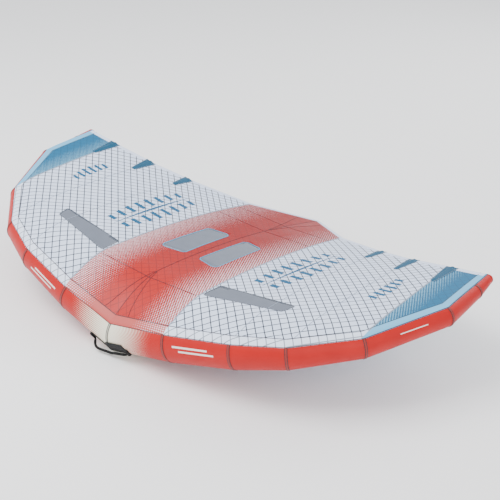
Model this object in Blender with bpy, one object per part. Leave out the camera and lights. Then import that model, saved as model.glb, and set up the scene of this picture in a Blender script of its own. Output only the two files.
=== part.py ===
"""Inflatable hand-held wing for foiling: leading-edge tube, centre strut, canopy and fittings.

Everything is drawn in the wing's chord frame: the origin is on the canopy seam at the nose,
+X points to one tip, +Y to the trailing edge and +Z up. One empty, the datum, then tips the
wing back until its nose tube and its tail pad both stand on the ground, and puts the middle of
its footprint on the origin. Metres throughout.
"""
import math

import bmesh
import bpy
import numpy as np
from mathutils import Matrix, Vector

# ---------------------------------------------------------------- driving dimensions
# Leading-edge stations, nose to tip: x, y, z of the canopy seam, the tube's diameter, and how
# many degrees the seam sits above the tube's outward side.
LE_STATIONS = (
    (0.000, 0.000, 0.000, 0.265, 39),
    (0.399, 0.017, 0.086, 0.262, 38),
    (0.822, 0.083, 0.175, 0.235, 40),
    (1.112, 0.205, 0.228, 0.195, 47),
    (1.412, 0.492, 0.294, 0.160, 58),
    (1.643, 0.987, 0.386, 0.135, 75),
    (1.647, 1.304, 0.416, 0.095, 95),
    (1.650, 1.445, 0.432, 0.060, 115),
)
# Trailing-edge stations, centre to tip: x, y, z.
TE_STATIONS = (
    (0.000, 2.188, 0.000),
    (0.416, 1.858, 0.106),
    (0.802, 1.670, 0.211),
    (1.086, 1.561, 0.290),
    (1.379, 1.475, 0.376),
    (1.650, 1.445, 0.432),
)
CAMBER_AT_CENTRE = 0.095        # camber as a fraction of the chord, at the centre
CAMBER_LOSS = 0.05              # and how much of it goes for each metre out
CAMBER_PEAK = 0.2               # where along the chord it peaks
PITCH = math.radians(-4.1)      # how far the wing tips back when it lies on nose and tail

GAP = 0.0004                    # between pieces that touch
SEAM_GAP = 0.0005               # between panels sewn edge to edge
LE_WALL = 0.0015                # coated cloth of the tubes
BLADDER_WALL = 0.0012
BLADDER_CLEARANCE = 0.0022      # bladder to cloth, all round
TUBE_SIDES = 18
SMOOTH_ANGLE = math.radians(30)
BLADDER_SIDES = 12
TIP_DOME = 0.022                # how far the cap at the tube's end bulges

CANOPY_THICKNESS = 0.0015
CANOPY_LIFT = 0.0030            # canopy to leading-edge tube
CENTRE_PANEL_X = 0.400          # outer edge of the centre panel
MIDDLE_PANEL_X = 1.405          # outer edge of the large panel
TIP_EDGE_X = 1.643
HEM_WIDTH = 0.035
HEM_THICKNESS = 0.0022
CANOPY_ROWS = (0.0, 0.012, 0.024, 0.038, 0.056, 0.08, 0.11, 0.14, 0.175, 0.22, 0.34, 0.48, 0.64,
               0.82, 1.0)
# Panel edges and the lines between them, closer where the canopy lies on the tube's bends.
CENTRE_COLUMNS = (0.0, 0.10, 0.20, 0.30, CENTRE_PANEL_X)
MIDDLE_COLUMNS = (CENTRE_PANEL_X, 0.52, 0.64, 0.76, 0.822, 0.92, 1.02, 1.112, 1.18, 1.25, 1.33,
                  MIDDLE_PANEL_X)
TIP_COLUMNS = (MIDDLE_PANEL_X, 1.46, 1.51, 1.55, 1.585, 1.612, 1.63, TIP_EDGE_X)

LARGE_WINDOW = ((0.4125, 0.333), (0.9075, 0.429), (0.934, 0.531), (0.419, 0.492))
LARGE_WINDOW_RADIUS = 0.016
SMALL_WINDOW = ((0.060, 0.712), (0.230, 0.665), (0.222, 1.150), (0.066, 1.196))
SMALL_WINDOW_RADIUS = 0.034
WINDOW_GAP = 0.0005
CUTTER_FLOOR, CUTTER_ROOF = -0.10, 0.60

# Batten pockets: the front end's middle, then the two corners on the trailing edge.
BATTEN_POCKETS = (
    ("inner", (0.825, 1.462), 0.802, 0.875),
    ("middle", (1.112, 1.330), 1.086, 1.168),
    ("outer", (1.412, 1.228), 1.379, 1.465),
)
POCKET_FRONT_WIDTH = 0.034
POCKET_THICKNESS = 0.0008
POCKET_LIFT = 0.0020            # pocket to canopy at its sewn edges
POCKET_END_GAP = 0.004          # pocket end to the trailing edge
BATTEN_WIDTH = 0.012
BATTEN_THICKNESS = 0.0016
BATTEN_END_MARGIN = 0.014
POCKET_STOPS = (0.0, 0.35, 0.7, 1.0)

STRUT_RADII = ((0.12, 0.100), (0.30, 0.100), (0.60, 0.097), (1.00, 0.088),
               (1.40, 0.076), (1.80, 0.060), (2.06, 0.047))
STRUT_STOPS = (0.12, 0.16, 0.20, 0.25, 0.30, 0.36, 0.44, 0.60, 0.80, 1.00, 1.20, 1.40, 1.60, 1.80,
               1.94, 2.06)
STRUT_BLADDER_ENDS = (0.262, 1.93)
STRUT_BLADDER_TAPER = 0.04      # how much narrower its front end is
STRUT_CLEARANCE = 0.0018        # strut to canopy along the top
SADDLE_CLEARANCE = 0.0010       # strut to leading-edge tube
TAIL_CAP_LENGTH = 0.045
TAIL_CAP_CLEARANCE = 0.0012     # spigot to the strut's wall
TAIL_SPIGOT = 0.030             # how far the cap reaches into the strut
TAIL_PAD_LENGTH, TAIL_PAD_WIDTH = 0.060, 0.056
TAIL_PAD_BACK, TAIL_PAD_FRONT, TAIL_PAD_EDGE = 0.020, 0.018, 0.004

HANDLE_STARTS = (("front", 0.64), ("rear", 1.22))
HANDLE_LENGTH = 0.340           # base strip, end to end
HANDLE_DROP = 0.064             # grip's middle below the pivot line
HANDLE_PIVOT_DROP = 0.009       # pivot line below the base strip
BASE_WIDTH, BASE_THICKNESS = 0.032, 0.003
LUG_LENGTH, LUG_HEIGHT = 0.014, 0.016
LUG_STEP = 0.0004               # a lug's wall, not quite upright
STRAP_RADIUS = 0.005
GRIP_RADIUS = 0.0155
BEND_LENGTH = 0.052
STUB_LENGTH = 0.012             # straight end of the strap beside each lug
GRIP_EDGE_DEPTH, GRIP_EDGE_LENGTH, GRIP_SWELL = 0.004, 0.006, 0.0012

NOSE_STRAP_ANGLE = math.radians(48)     # below the tube's front
NOSE_STRAP_HALF = 0.152
NOSE_STRAP_WIDTH = 0.030
NOSE_STRAP_THICKNESS = 0.0022
NOSE_STRAP_LIFT = 0.0009
NOSE_LUG_LENGTH, NOSE_LUG_HEIGHT = 0.012, 0.017
NOSE_PIVOT_LIFT = 0.0115
NOSE_LOOP_RADIUS = 0.0045
# The slack loop: place along the span, and height over the tube.
NOSE_LOOP = ((-0.1382, 0.0115), (-0.1335, 0.0117), (-0.1265, 0.0230), (-0.1150, 0.0390),
             (-0.0980, 0.0475), (-0.0750, 0.0455), (-0.0450, 0.0360), (-0.0150, 0.0260),
             (0.0150, 0.0200), (0.0500, 0.0160), (0.0850, 0.0135), (0.1150, 0.0120),
             (0.1335, 0.0115), (0.1382, 0.0115))

VALVE_X = 0.200
VALVE_BORE, VALVE_OUTER, VALVE_FLANGE = 0.0110, 0.0150, 0.0230
VALVE_DEPTH, VALVE_HEIGHT, VALVE_FLANGE_THICKNESS = 0.020, 0.009, 0.002
VALVE_FLANGE_LIFT = 0.0022
VALVE_EAR_WIDTH, VALVE_EAR_START = 0.010, 0.012
VALVE_CLEARANCE = 0.0006        # round the valve, in cloth and bladder
POPPET_RADIUS, POPPET_STEM_RADIUS = 0.0104, 0.0025
POPPET_FLOOR, POPPET_DISC, POPPET_STEM_TOP = -0.010, 0.002, 0.001
CAP_RADIUS, CAP_THICKNESS, CAP_LIFT = 0.0170, 0.0030, 0.0005
CAP_EAR_WIDTH, CAP_EAR_START, CAP_EAR_THICKNESS = 0.009, 0.010, 0.0017
HINGE_REACH = 0.0215            # valve axis to the cap's hinge

HOSE_RADIUS = 0.008
HOSE_CUFF_RADIUS = 0.015
HOSE_X = -0.160
HOSE_STRUT_Y = 0.50
HOSE_END_GAP = 0.0025           # a flat cuff on a round tube
HOSE_STRAIGHT = 0.13, 0.10      # how strongly it leaves the leading edge and enters the strut
HOSE_PORT_RADIUS = 0.006
CLAMP_AT = 0.42                 # where along the hose the clamp sits
CLAMP_LENGTH, CLAMP_WIDTH, CLAMP_HEIGHT = 0.020, 0.028, 0.026
CLAMP_BORE = 0.0092
LEVER_LENGTH, LEVER_THICKNESS, LEVER_LIFT = 0.034, 0.004, 0.0006
LEVER_LIP = 0.004               # how far its thumb lip reaches past the tip

LEASH_WIDTH, LEASH_HEIGHT, LEASH_REACH, LEASH_WALL = 0.020, 0.024, 0.020, 0.003
LEASH_LIFT, LEASH_CORNER = 0.0010, 0.004

# ---------------------------------------------------------------- materials
COLOURS = {
    "tube_cloth_red": ((0.74, 0.11, 0.07), 0.55, 0.0),
    "tube_cloth_cream": ((0.82, 0.81, 0.71), 0.55, 0.0),
    "ripstop_red": ((0.66, 0.09, 0.06), 0.50, 0.0),
    "ripstop_white": ((0.78, 0.83, 0.92), 0.50, 0.0),
    "ripstop_blue": ((0.12, 0.42, 0.60), 0.50, 0.0),
    "hem_white": ((0.82, 0.84, 0.90), 0.60, 0.0),
    "window_film": ((0.36, 0.39, 0.44), 0.25, 0.0),
    "pocket_teal": ((0.03, 0.22, 0.36), 0.60, 0.0),
    "fibreglass": ((0.75, 0.76, 0.70), 0.35, 0.0),
    "bladder_film": ((0.80, 0.82, 0.84), 0.30, 0.0),
    "webbing_black": ((0.025, 0.025, 0.028), 0.75, 0.0),
    "grip_foam": ((0.045, 0.045, 0.050), 0.90, 0.0),
    "valve_plastic": ((0.03, 0.03, 0.035), 0.40, 0.0),
    "lever_red": ((0.74, 0.11, 0.07), 0.40, 0.0),
    "hose_silicone": ((0.55, 0.58, 0.60), 0.35, 0.0),
}


def material(name):
    """One Principled material, made once and shared."""
    found = bpy.data.materials.get(name)
    if found:
        return found
    colour, roughness, metallic = COLOURS[name]
    made = bpy.data.materials.new(name)
    made.use_nodes = True
    shader = made.node_tree.nodes["Principled BSDF"]
    shader.inputs["Base Color"].default_value = (*colour, 1.0)
    shader.inputs["Roughness"].default_value = roughness
    shader.inputs["Metallic"].default_value = metallic
    made.diffuse_color = (*colour, 1.0)
    return made


# ---------------------------------------------------------------- object helpers
def clear_scene():
    for old in list(bpy.data.objects):
        bpy.data.objects.remove(old, do_unlink=True)


def add_empty(name, location, parent=None):
    empty = bpy.data.objects.new(name, None)
    empty.empty_display_size = 0.05
    empty.location = location
    empty.parent = parent
    bpy.context.scene.collection.objects.link(empty)
    return empty


def add_solid(name, points, faces, finish, parent):
    """A mesh object from chord-frame points; its own origin is its parent's."""
    origin = parent.location if parent.parent else Vector((0, 0, 0))
    mesh = bpy.data.meshes.new(name)
    bm = bmesh.new()
    verts = [bm.verts.new(Vector(p) - origin) for p in points]
    for face in faces:
        bm.faces.new([verts[i] for i in face])
    bmesh.ops.recalc_face_normals(bm, faces=bm.faces)
    bm.to_mesh(mesh)
    bm.free()
    mesh.materials.append(material(finish))
    mesh.shade_smooth()
    mesh.set_sharp_from_angle(angle=SMOOTH_ANGLE)
    made = bpy.data.objects.new(name, mesh)
    made.parent = parent
    bpy.context.scene.collection.objects.link(made)
    return made


def add_boolean(target, cutter, operation="DIFFERENCE"):
    modifier = target.modifiers.new(operation.title(), "BOOLEAN")
    modifier.operation = operation
    modifier.object = cutter
    cutter.hide_render = True
    cutter.display_type = "WIRE"


def ring_faces(first, second, count, flip=False):
    """Quads between two rings whose points start at the given indices."""
    faces = []
    for i in range(count):
        j = (i + 1) % count
        quad = (first + i, first + j, second + j, second + i)
        faces.append(quad[::-1] if flip else quad)
    return faces


def loft_solid(rings):
    """A closed solid through rings of equal length, with a flat face at each end."""
    count = len(rings[0])
    points = [p for ring in rings for p in ring]
    faces = [tuple(range(count))[::-1]]
    for i in range(len(rings) - 1):
        faces += ring_faces(i * count, (i + 1) * count, count)
    last = (len(rings) - 1) * count
    faces.append(tuple(range(last, last + count)))
    return points, faces


def loft_shell(outer, inner):
    """An open-ended tube with a wall: outer skin, inner skin and a rim at each end."""
    count = len(outer[0])
    points = [p for ring in outer + inner for p in ring]
    shift = len(outer) * count
    faces = []
    for i in range(len(outer) - 1):
        faces += ring_faces(i * count, (i + 1) * count, count)
        faces += ring_faces(shift + i * count, shift + (i + 1) * count, count, flip=True)
    last = (len(outer) - 1) * count
    faces += ring_faces(0, shift, count, flip=True)
    faces += ring_faces(last, shift + last, count)
    return points, faces


def lathe(profile, frame, sides):
    """A ring-shaped solid: a closed (radius, height) profile turned about the frame's z."""
    points, faces = [], []
    for i in range(sides):
        turn = 2 * math.pi * i / sides
        for radius, height in profile:
            local = Vector((radius * math.cos(turn), radius * math.sin(turn), height))
            points.append(frame @ local)
    count = len(profile)
    for i in range(sides):
        j = (i + 1) % sides
        for a in range(count):
            b = (a + 1) % count
            faces.append((i * count + a, j * count + a, j * count + b, i * count + b))
    return points, faces


def stack(discs, frame, sides):
    """A solid of revolution without a bore, from (radius, height) pairs, both radii above 0."""
    rings = []
    for radius, height in discs:
        ring = []
        for i in range(sides):
            turn = 2 * math.pi * i / sides
            local = Vector((radius * math.cos(turn), radius * math.sin(turn), height))
            ring.append(frame @ local)
        rings.append(ring)
    return loft_solid(rings)


def box_points(low, high, frame):
    xs, ys, zs = zip(low, high)
    ring = lambda z: [frame @ Vector(p) for p in
                      ((xs[0], ys[0], z), (xs[1], ys[0], z), (xs[1], ys[1], z), (xs[0], ys[1], z))]
    return loft_solid([ring(zs[0]), ring(zs[1])])


def sweep(path, radii, sides):
    """A round bar along a path, with a frame that never twists."""
    path = [Vector(p) for p in path]
    side = None
    rings = []
    for i, here in enumerate(path):
        ahead = path[min(i + 1, len(path) - 1)]
        behind = path[max(i - 1, 0)]
        tangent = (ahead - behind).normalized()
        if side is None:
            side = tangent.orthogonal().normalized()
        side = (side - side.dot(tangent) * tangent).normalized()
        other = tangent.cross(side)
        ring = []
        for k in range(sides):
            turn = 2 * math.pi * k / sides
            ring.append(here + radii[i] * (math.cos(turn) * side + math.sin(turn) * other))
        rings.append(ring)
    return loft_solid(rings)


# ---------------------------------------------------------------- leading-edge geometry
UP = Vector((0, 0, 1))


def le_centres():
    """Middle of the tube at each station, worked out from the seam and its angle."""
    seams = [Vector(s[:3]) for s in LE_STATIONS]
    centres = []
    for i, (_, _, _, diameter, seam_angle) in enumerate(LE_STATIONS):
        before = (seams[i] - seams[i - 1]).normalized() if i else None
        after = (seams[i + 1] - seams[i]).normalized() if i + 1 < len(seams) else None
        if before is None:
            tangent = Vector((1, 0, 0))
        elif after is None:
            tangent = before
        else:
            tangent = (before + after).normalized()
        lift = (UP - UP.dot(tangent) * tangent).normalized()
        outward = tangent.cross(lift)
        angle = math.radians(seam_angle)
        centres.append(seams[i] - diameter / 2 * (math.cos(angle) * outward + math.sin(angle) * lift))
    return centres


LE_CENTRES = le_centres()
LE_RADII = [s[3] / 2 for s in LE_STATIONS]
LE_AXES = [(b - a).normalized() for a, b in zip(LE_CENTRES, LE_CENTRES[1:])]


def mitre_normal(station):
    """Normal of the plane in which two tube panels meet."""
    if station == 0:
        return Vector((1, 0, 0))
    if station == len(LE_CENTRES) - 1:
        return LE_AXES[-1]
    return (LE_AXES[station - 1] + LE_AXES[station]).normalized()


def le_ring(panel, station, radius, sides, shift=0.0):
    """The mitred end of one tube panel; shift moves it along the panel."""
    axis = LE_AXES[panel]
    normal = mitre_normal(station)
    lift = (UP - UP.dot(axis) * axis).normalized()
    outward = axis.cross(lift)
    ring = []
    for i in range(sides):
        turn = 2 * math.pi * (i + 0.5) / sides
        spoke = math.cos(turn) * outward + math.sin(turn) * lift
        slide = spoke.dot(normal) / axis.dot(normal)
        ring.append(LE_CENTRES[station] + radius * (spoke - slide * axis) + shift * axis)
    return ring


def mirrored(points, side):
    return [Vector((side * p[0], p[1], p[2])) for p in points]


def on_nose_tube(x, direction, lift=0.0):
    """A point over the first tube panel, seen from its middle line in a direction across x."""
    along = abs(x) / LE_CENTRES[1].x
    centre = LE_CENTRES[0].lerp(LE_CENTRES[1], along)
    radius = LE_RADII[0] + along * (LE_RADII[1] - LE_RADII[0])
    slant = math.sqrt(1 - direction.dot(LE_AXES[0]) ** 2)
    return Vector((x, centre.y, centre.z)) + direction * (radius / slant + lift)


def ground_up():
    """The ground's own upright, in the chord frame."""
    return Matrix.Rotation(-PITCH, 3, "X") @ UP


def ground_back():
    """Level and straight back, in the chord frame."""
    return Matrix.Rotation(-PITCH, 3, "X") @ Vector((0, 1, 0))


# ---------------------------------------------------------------- canopy geometry
def along_stations(stations, x, column):
    return float(np.interp(x, [s[0] for s in stations], [s[column] for s in stations]))


def front_y(x):
    return along_stations(LE_STATIONS[:6], x, 1)


def rear_y(x):
    return along_stations(TE_STATIONS, x, 1)


def canopy_height(x, y):
    """Height of the canopy's underside over the chord frame, x taken from the centre out."""
    start, end = front_y(x), rear_y(x)
    along = min(max((y - start) / (end - start), 0.0), 1.0)
    peak = CAMBER_PEAK
    if along < peak:
        shape = (2 * peak * along - along ** 2) / peak ** 2
    else:
        shape = (1 - 2 * peak + 2 * peak * along - along ** 2) / (1 - peak) ** 2
    front_z = along_stations(LE_STATIONS[:6], x, 2)
    rear_z = along_stations(TE_STATIONS, x, 2)
    camber = CAMBER_AT_CENTRE - CAMBER_LOSS * x
    return front_z + along * (rear_z - front_z) + camber * (end - start) * shape


def clear_of_tube(point, clearance):
    """Moves a point straight out of the leading-edge tube until it clears it."""
    for a, b, ra, rb in zip(LE_CENTRES, LE_CENTRES[1:], LE_RADII, LE_RADII[1:]):
        run = b - a
        along = min(max((point - a).dot(run) / run.length_squared, 0.0), 1.0)
        centre = a.lerp(b, along)
        needed = ra + along * (rb - ra) + clearance
        away = point - centre
        if away.length < needed:
            point = centre + away.normalized() * needed
    return point


def canopy_point(side, x, y, lift):
    """A point over the canopy's underside, clear of the tube."""
    raw = Vector((x, y, canopy_height(x, y) + lift))
    clear = clear_of_tube(raw, CANOPY_LIFT + lift)
    clear.x = max(clear.x, x)
    return Vector((side * clear.x, clear.y, clear.z))


def sheet_solid(grid_low, grid_high):
    """A closed thin solid between two grids of the same size."""
    rows, cols = len(grid_low), len(grid_low[0])
    points = [p for grid in (grid_low, grid_high) for row in grid for p in row]
    low = lambda r, c: r * cols + c
    high = lambda r, c: rows * cols + r * cols + c
    faces = []
    for r in range(rows - 1):
        for c in range(cols - 1):
            faces.append((low(r, c), low(r + 1, c), low(r + 1, c + 1), low(r, c + 1)))
            faces.append((high(r, c), high(r, c + 1), high(r + 1, c + 1), high(r + 1, c)))
    border = [(0, c) for c in range(cols)] + [(r, cols - 1) for r in range(1, rows)]
    border += [(rows - 1, c) for c in range(cols - 2, -1, -1)] + [(r, 0) for r in range(rows - 2, 0, -1)]
    for i, a in enumerate(border):
        b = border[(i + 1) % len(border)]
        faces.append((low(*a), low(*b), high(*b), high(*a)))
    return points, faces


def canopy_grid(side, xs, lift):
    grid = []
    for row in CANOPY_ROWS:
        line = []
        for x in xs:
            start = front_y(x)
            end = rear_y(x) - HEM_WIDTH - SEAM_GAP
            line.append(canopy_point(side, x, start + (end - start) * row, lift))
        grid.append(line)
    return grid


def canopy_panel(name, side, xs, finish, parent):
    xs = [xs[0] + SEAM_GAP / 2, *xs[1:-1], xs[-1] - SEAM_GAP / 2]
    shape = sheet_solid(canopy_grid(side, xs, 0.0), canopy_grid(side, xs, CANOPY_THICKNESS))
    return add_solid(name, *shape, finish, parent)


def rounded_outline(corners, radius, inset=0.0, steps=3):
    """The corners of a convex outline, rounded; inset moves every edge inwards."""
    centre = sum((Vector(c) for c in corners), Vector((0, 0))) / len(corners)
    count = len(corners)
    moved = []
    for i in range(count):
        here, before, after = (Vector(corners[k % count]) for k in (i, i - 1, i + 1))
        one, two = (before - here).normalized(), (after - here).normalized()
        half = math.acos(max(-1, min(1, one.dot(two)))) / 2
        bisector = (one + two).normalized()
        if bisector.dot(centre - here) < 0:
            bisector = -bisector
        moved.append((here + bisector * inset / math.sin(half), one, two, half, bisector))
    outline = []
    for here, one, two, half, bisector in moved:
        middle = here + bisector * radius / math.sin(half)
        start = here + one * radius / math.tan(half) - middle
        sweep_angle = math.pi - 2 * half
        turn = 1 if start.cross(here + two * radius / math.tan(half) - middle) > 0 else -1
        for k in range(steps + 1):
            angle = turn * sweep_angle * k / steps
            outline.append(middle + Matrix.Rotation(angle, 2) @ start)
    return outline


def outline_cutter(name, outline, side, parent):
    rings = [[Vector((side * p.x, p.y, z)) for p in outline] for z in (CUTTER_FLOOR, CUTTER_ROOF)]
    cutter = add_solid(name, *loft_solid(rings), "window_film", parent)
    cutter.hide_render = True
    cutter.display_type = "WIRE"
    return cutter


# ---------------------------------------------------------------- the pieces
def tube_panels(datum):
    """Seven mitred cloth panels and an end cap on each side of the nose."""
    for side, word in ((-1, "left"), (1, "right")):
        for panel in range(len(LE_AXES)):
            rings = []
            for inset in (0.0, LE_WALL):
                ends = []
                for station, shift in ((panel, SEAM_GAP / 2), (panel + 1, -SEAM_GAP / 2)):
                    radius = LE_RADII[station] - inset
                    ends.append(mirrored(le_ring(panel, station, radius, TUBE_SIDES, shift), side))
                rings.append(ends)
            finish = "tube_cloth_cream" if panel == 0 else "tube_cloth_red"
            made = add_solid(f"le_panel_{word}_{panel + 1}", *loft_shell(*rings), finish, datum)
            if side == 1 and panel == 0:
                add_boolean(made, valve_hole_cutter(datum))
        last = len(LE_AXES)
        dome = []
        for k in range(4):
            bulge = math.radians(28 * k)
            radius = LE_RADII[last] * math.cos(bulge)
            dome.append(mirrored(le_ring(last - 1, last, radius, TUBE_SIDES,
                                         TIP_DOME * math.sin(bulge)), side))
        add_solid(f"le_tip_cap_{word}", *loft_solid(dome), "tube_cloth_red", datum)


def le_bladder(datum):
    """The air bladder inside the leading edge: one sealed tube, open only at its valve."""
    def skin(inset, end_margin):
        rings = []
        last = len(LE_AXES)
        for side in (-1, 1):
            order = range(last, 0, -1) if side < 0 else range(0, last + 1)
            for station in order:
                panel = max(station - 1, 0)
                shift = -end_margin if station == last else 0.0
                radius = LE_RADII[station] - inset
                ring = mirrored(le_ring(panel, station, radius, BLADDER_SIDES, shift), side)
                rings.append(ring)
        return loft_solid(rings)

    inset = LE_WALL + BLADDER_CLEARANCE
    outer = skin(inset, 0.006)
    inner = skin(inset + BLADDER_WALL, 0.006 + BLADDER_WALL)
    made = add_solid("le_bladder", *outer, "bladder_film", datum)
    hollow = add_solid("cutter_le_bladder_hollow", *inner, "bladder_film", datum)
    add_boolean(made, hollow)
    add_boolean(made, valve_hole_cutter(datum))


def canopy(datum):
    """Six cloth panels, four film windows let into them and a hem along the trailing edge."""
    for side, word in ((-1, "left"), (1, "right")):
        centre = canopy_panel(f"canopy_centre_{word}", side, CENTRE_COLUMNS,
                              "ripstop_red", datum)
        middle = canopy_panel(f"canopy_middle_{word}", side, MIDDLE_COLUMNS,
                              "ripstop_white", datum)
        canopy_panel(f"canopy_tip_{word}", side, TIP_COLUMNS, "ripstop_blue", datum)
        for panel, size, corners, radius in (
                (centre, "small", SMALL_WINDOW, SMALL_WINDOW_RADIUS),
                (middle, "large", LARGE_WINDOW, LARGE_WINDOW_RADIUS)):
            film = bpy.data.objects.new(f"window_{size}_{word}", panel.data.copy())
            film.parent = datum
            bpy.context.scene.collection.objects.link(film)
            film.data.materials.clear()
            film.data.materials.append(material("window_film"))
            hole = outline_cutter(f"cutter_hole_{size}_{word}",
                                  rounded_outline(corners, radius), side, datum)
            pane = outline_cutter(f"cutter_pane_{size}_{word}",
                                  rounded_outline(corners, radius, WINDOW_GAP), side, datum)
            add_boolean(panel, hole)
            add_boolean(film, pane, "INTERSECT")
        grids = []
        for lift in (0.0, HEM_THICKNESS):
            xs = CENTRE_COLUMNS + MIDDLE_COLUMNS[1:] + TIP_COLUMNS[1:]
            xs = (SEAM_GAP / 2,) + xs[1:]
            grids.append([[canopy_point(side, x, rear_y(x) - back, lift) for x in xs]
                          for back in (HEM_WIDTH, 0.0)])
        add_solid(f"trailing_edge_hem_{word}", *sheet_solid(*grids), "hem_white", datum)


def batten_pockets(datum):
    """Three flat battens on each side, each under a tapered cloth pocket."""
    for side, word in ((-1, "left"), (1, "right")):
        for place, front, rear_a, rear_b in BATTEN_POCKETS:
            start = Vector(front)
            x_end = (rear_a + rear_b) / 2
            end = Vector((x_end, rear_y(x_end) - POCKET_END_GAP))
            ahead = (end - start).normalized()
            across = Vector((ahead.y, -ahead.x))
            half_rear = (rear_b - rear_a) / 2

            def grid(lifts, halves, points):
                lines = []
                for middle, half_width in points:
                    offsets = halves(half_width)
                    line = []
                    for offset, lift in zip(offsets, lifts):
                        spot = middle + across * offset
                        line.append(canopy_point(side, spot.x, spot.y, CANOPY_THICKNESS + lift))
                    lines.append(line)
                return lines

            stops = [(start.lerp(end, f), POCKET_FRONT_WIDTH / 2 * (1 - f) + half_rear * f)
                     for f in POCKET_STOPS]
            over = POCKET_LIFT + BATTEN_THICKNESS + 2 * GAP
            crown = BATTEN_WIDTH / 2 + 0.001
            shape = lambda half: (-half, -crown, crown, half)
            low = grid((POCKET_LIFT, over, over, POCKET_LIFT), shape, stops)
            high = grid([v + POCKET_THICKNESS for v in (POCKET_LIFT, over, over, POCKET_LIFT)],
                        shape, stops)
            add_solid(f"batten_pocket_{place}_{word}", *sheet_solid(low, high), "pocket_teal", datum)

            near, far = start + ahead * BATTEN_END_MARGIN, end - ahead * BATTEN_END_MARGIN
            stops = [(near.lerp(far, f), BATTEN_WIDTH / 2) for f in POCKET_STOPS]
            flat = lambda half: (-half, half)
            low = grid((POCKET_LIFT,) * 2, flat, stops)
            high = grid((POCKET_LIFT + BATTEN_THICKNESS,) * 2, flat, stops)
            add_solid(f"batten_{place}_{word}", *sheet_solid(low, high), "fibreglass", datum)


def strut_radius(y):
    return float(np.interp(y, [s[0] for s in STRUT_RADII], [s[1] for s in STRUT_RADII]))


def strut_centre(y):
    top = canopy_height(0.0, y) - STRUT_CLEARANCE
    return Vector((0, y, top - strut_radius(y)))


def strut_bottom(y):
    return strut_centre(y).z - strut_radius(y)


def strut_ring(y, inset, sides, slide=0.0):
    centre, radius = strut_centre(y), strut_radius(y) - inset
    ring = []
    for i in range(sides):
        turn = 2 * math.pi * (i + 0.5) / sides
        ring.append(Vector((radius * math.sin(turn), y + slide, centre.z + radius * math.cos(turn))))
    return ring


def saddle_cutter(datum, name, extra):
    """The nose of the leading-edge tube, a little thicker than it is."""
    rings = []
    for side, station in ((-1, 1), (-1, 0), (1, 1)):
        ring = le_ring(0, station, LE_RADII[station] + extra, TUBE_SIDES * 2)
        rings.append(mirrored(ring, side))
    return add_solid(name, *loft_solid(rings), "tube_cloth_red", datum)


def strut(datum):
    """The centre strut: cloth tube with a saddle cut to the nose, its bladder and its tail cap."""
    outer = [strut_ring(y, 0.0, TUBE_SIDES) for y in STRUT_STOPS]
    inner = [strut_ring(y, LE_WALL, TUBE_SIDES) for y in STRUT_STOPS]
    shell = add_solid("strut_tube", *loft_shell(outer, inner), "tube_cloth_cream", datum)
    add_boolean(shell, saddle_cutter(datum, "cutter_strut_saddle", SADDLE_CLEARANCE))

    inset = LE_WALL + BLADDER_CLEARANCE
    skins = []
    for more in (0.0, BLADDER_WALL):
        front, back = STRUT_BLADDER_ENDS[0] + 2 * more, STRUT_BLADDER_ENDS[1] - 2 * more
        rings = [strut_ring(front, inset + more + STRUT_BLADDER_TAPER, BLADDER_SIDES)]
        rings += [strut_ring(y, inset + more, BLADDER_SIDES) for y in STRUT_STOPS[4:-2]]
        rings.append(strut_ring(back, inset + more, BLADDER_SIDES))
        skins.append(loft_solid(rings))
    bladder = add_solid("strut_bladder", *skins[0], "bladder_film", datum)
    add_boolean(bladder, add_solid("cutter_strut_bladder_hollow", *skins[1], "bladder_film", datum))
    start, inward = hose_end_on_strut()
    frame = frame_along(start, inward)
    port = stack(((HOSE_PORT_RADIUS, -0.01), (HOSE_PORT_RADIUS, 0.02)), frame, 10)
    add_boolean(bladder, add_solid("cutter_strut_bladder_port", *port, "bladder_film", datum))

    tail = STRUT_STOPS[-1]
    spigot = LE_WALL + TAIL_CAP_CLEARANCE
    plug = [strut_ring(tail - TAIL_SPIGOT, spigot, TUBE_SIDES)]
    plug.append(strut_ring(tail, spigot, TUBE_SIDES, SEAM_GAP))
    plug.append(strut_ring(tail, 0.0, TUBE_SIDES, SEAM_GAP))
    for k in (1, 2, 3):
        bulge = math.radians(26 * k)
        inset = strut_radius(tail) * (1 - math.cos(bulge))
        plug.append(strut_ring(tail, inset, TUBE_SIDES, SEAM_GAP + TAIL_CAP_LENGTH * math.sin(bulge)))
    cap = add_solid("strut_tail_cap", *loft_solid(plug), "webbing_black", datum)
    add_boolean(cap, tail_pad(datum, tail), "UNION")


def ground_height():
    """How far below the datum's origin the ground is, along the ground's own upright."""
    return min(p.dot(ground_up()) for p in le_ring(0, 0, LE_RADII[0], TUBE_SIDES))


def tail_pad(datum, tail):
    """A block under the tail cap whose underside lies flat on the ground."""
    up = ground_up()
    back = ground_back()
    side = Vector((1, 0, 0))
    middle = Vector((0, tail + TAIL_PAD_BACK, 0))
    middle -= (middle.dot(up) - ground_height()) * up
    top = strut_centre(tail).z - strut_radius(tail) * 0.75
    height = Vector((0, middle.y, top)).dot(up) - ground_height()
    rings = []
    for level, shrink in ((0.0, TAIL_PAD_EDGE), (TAIL_PAD_EDGE, 0.0), (height, TAIL_PAD_EDGE)):
        ring = []
        for sx, sy in ((-1, -1), (1, -1), (1, 1), (-1, 1)):
            reach_x, reach_y = TAIL_PAD_WIDTH / 2 - shrink, TAIL_PAD_LENGTH / 2 - shrink
            start_y = -TAIL_PAD_FRONT if sy < 0 else reach_y
            ring.append(middle + sx * reach_x * side + start_y * back + level * up)
        rings.append(ring)
    pad = add_solid("cutter_tail_pad", *loft_solid(rings), "webbing_black", datum)
    pad.hide_render = True
    pad.display_type = "WIRE"
    return pad


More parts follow.
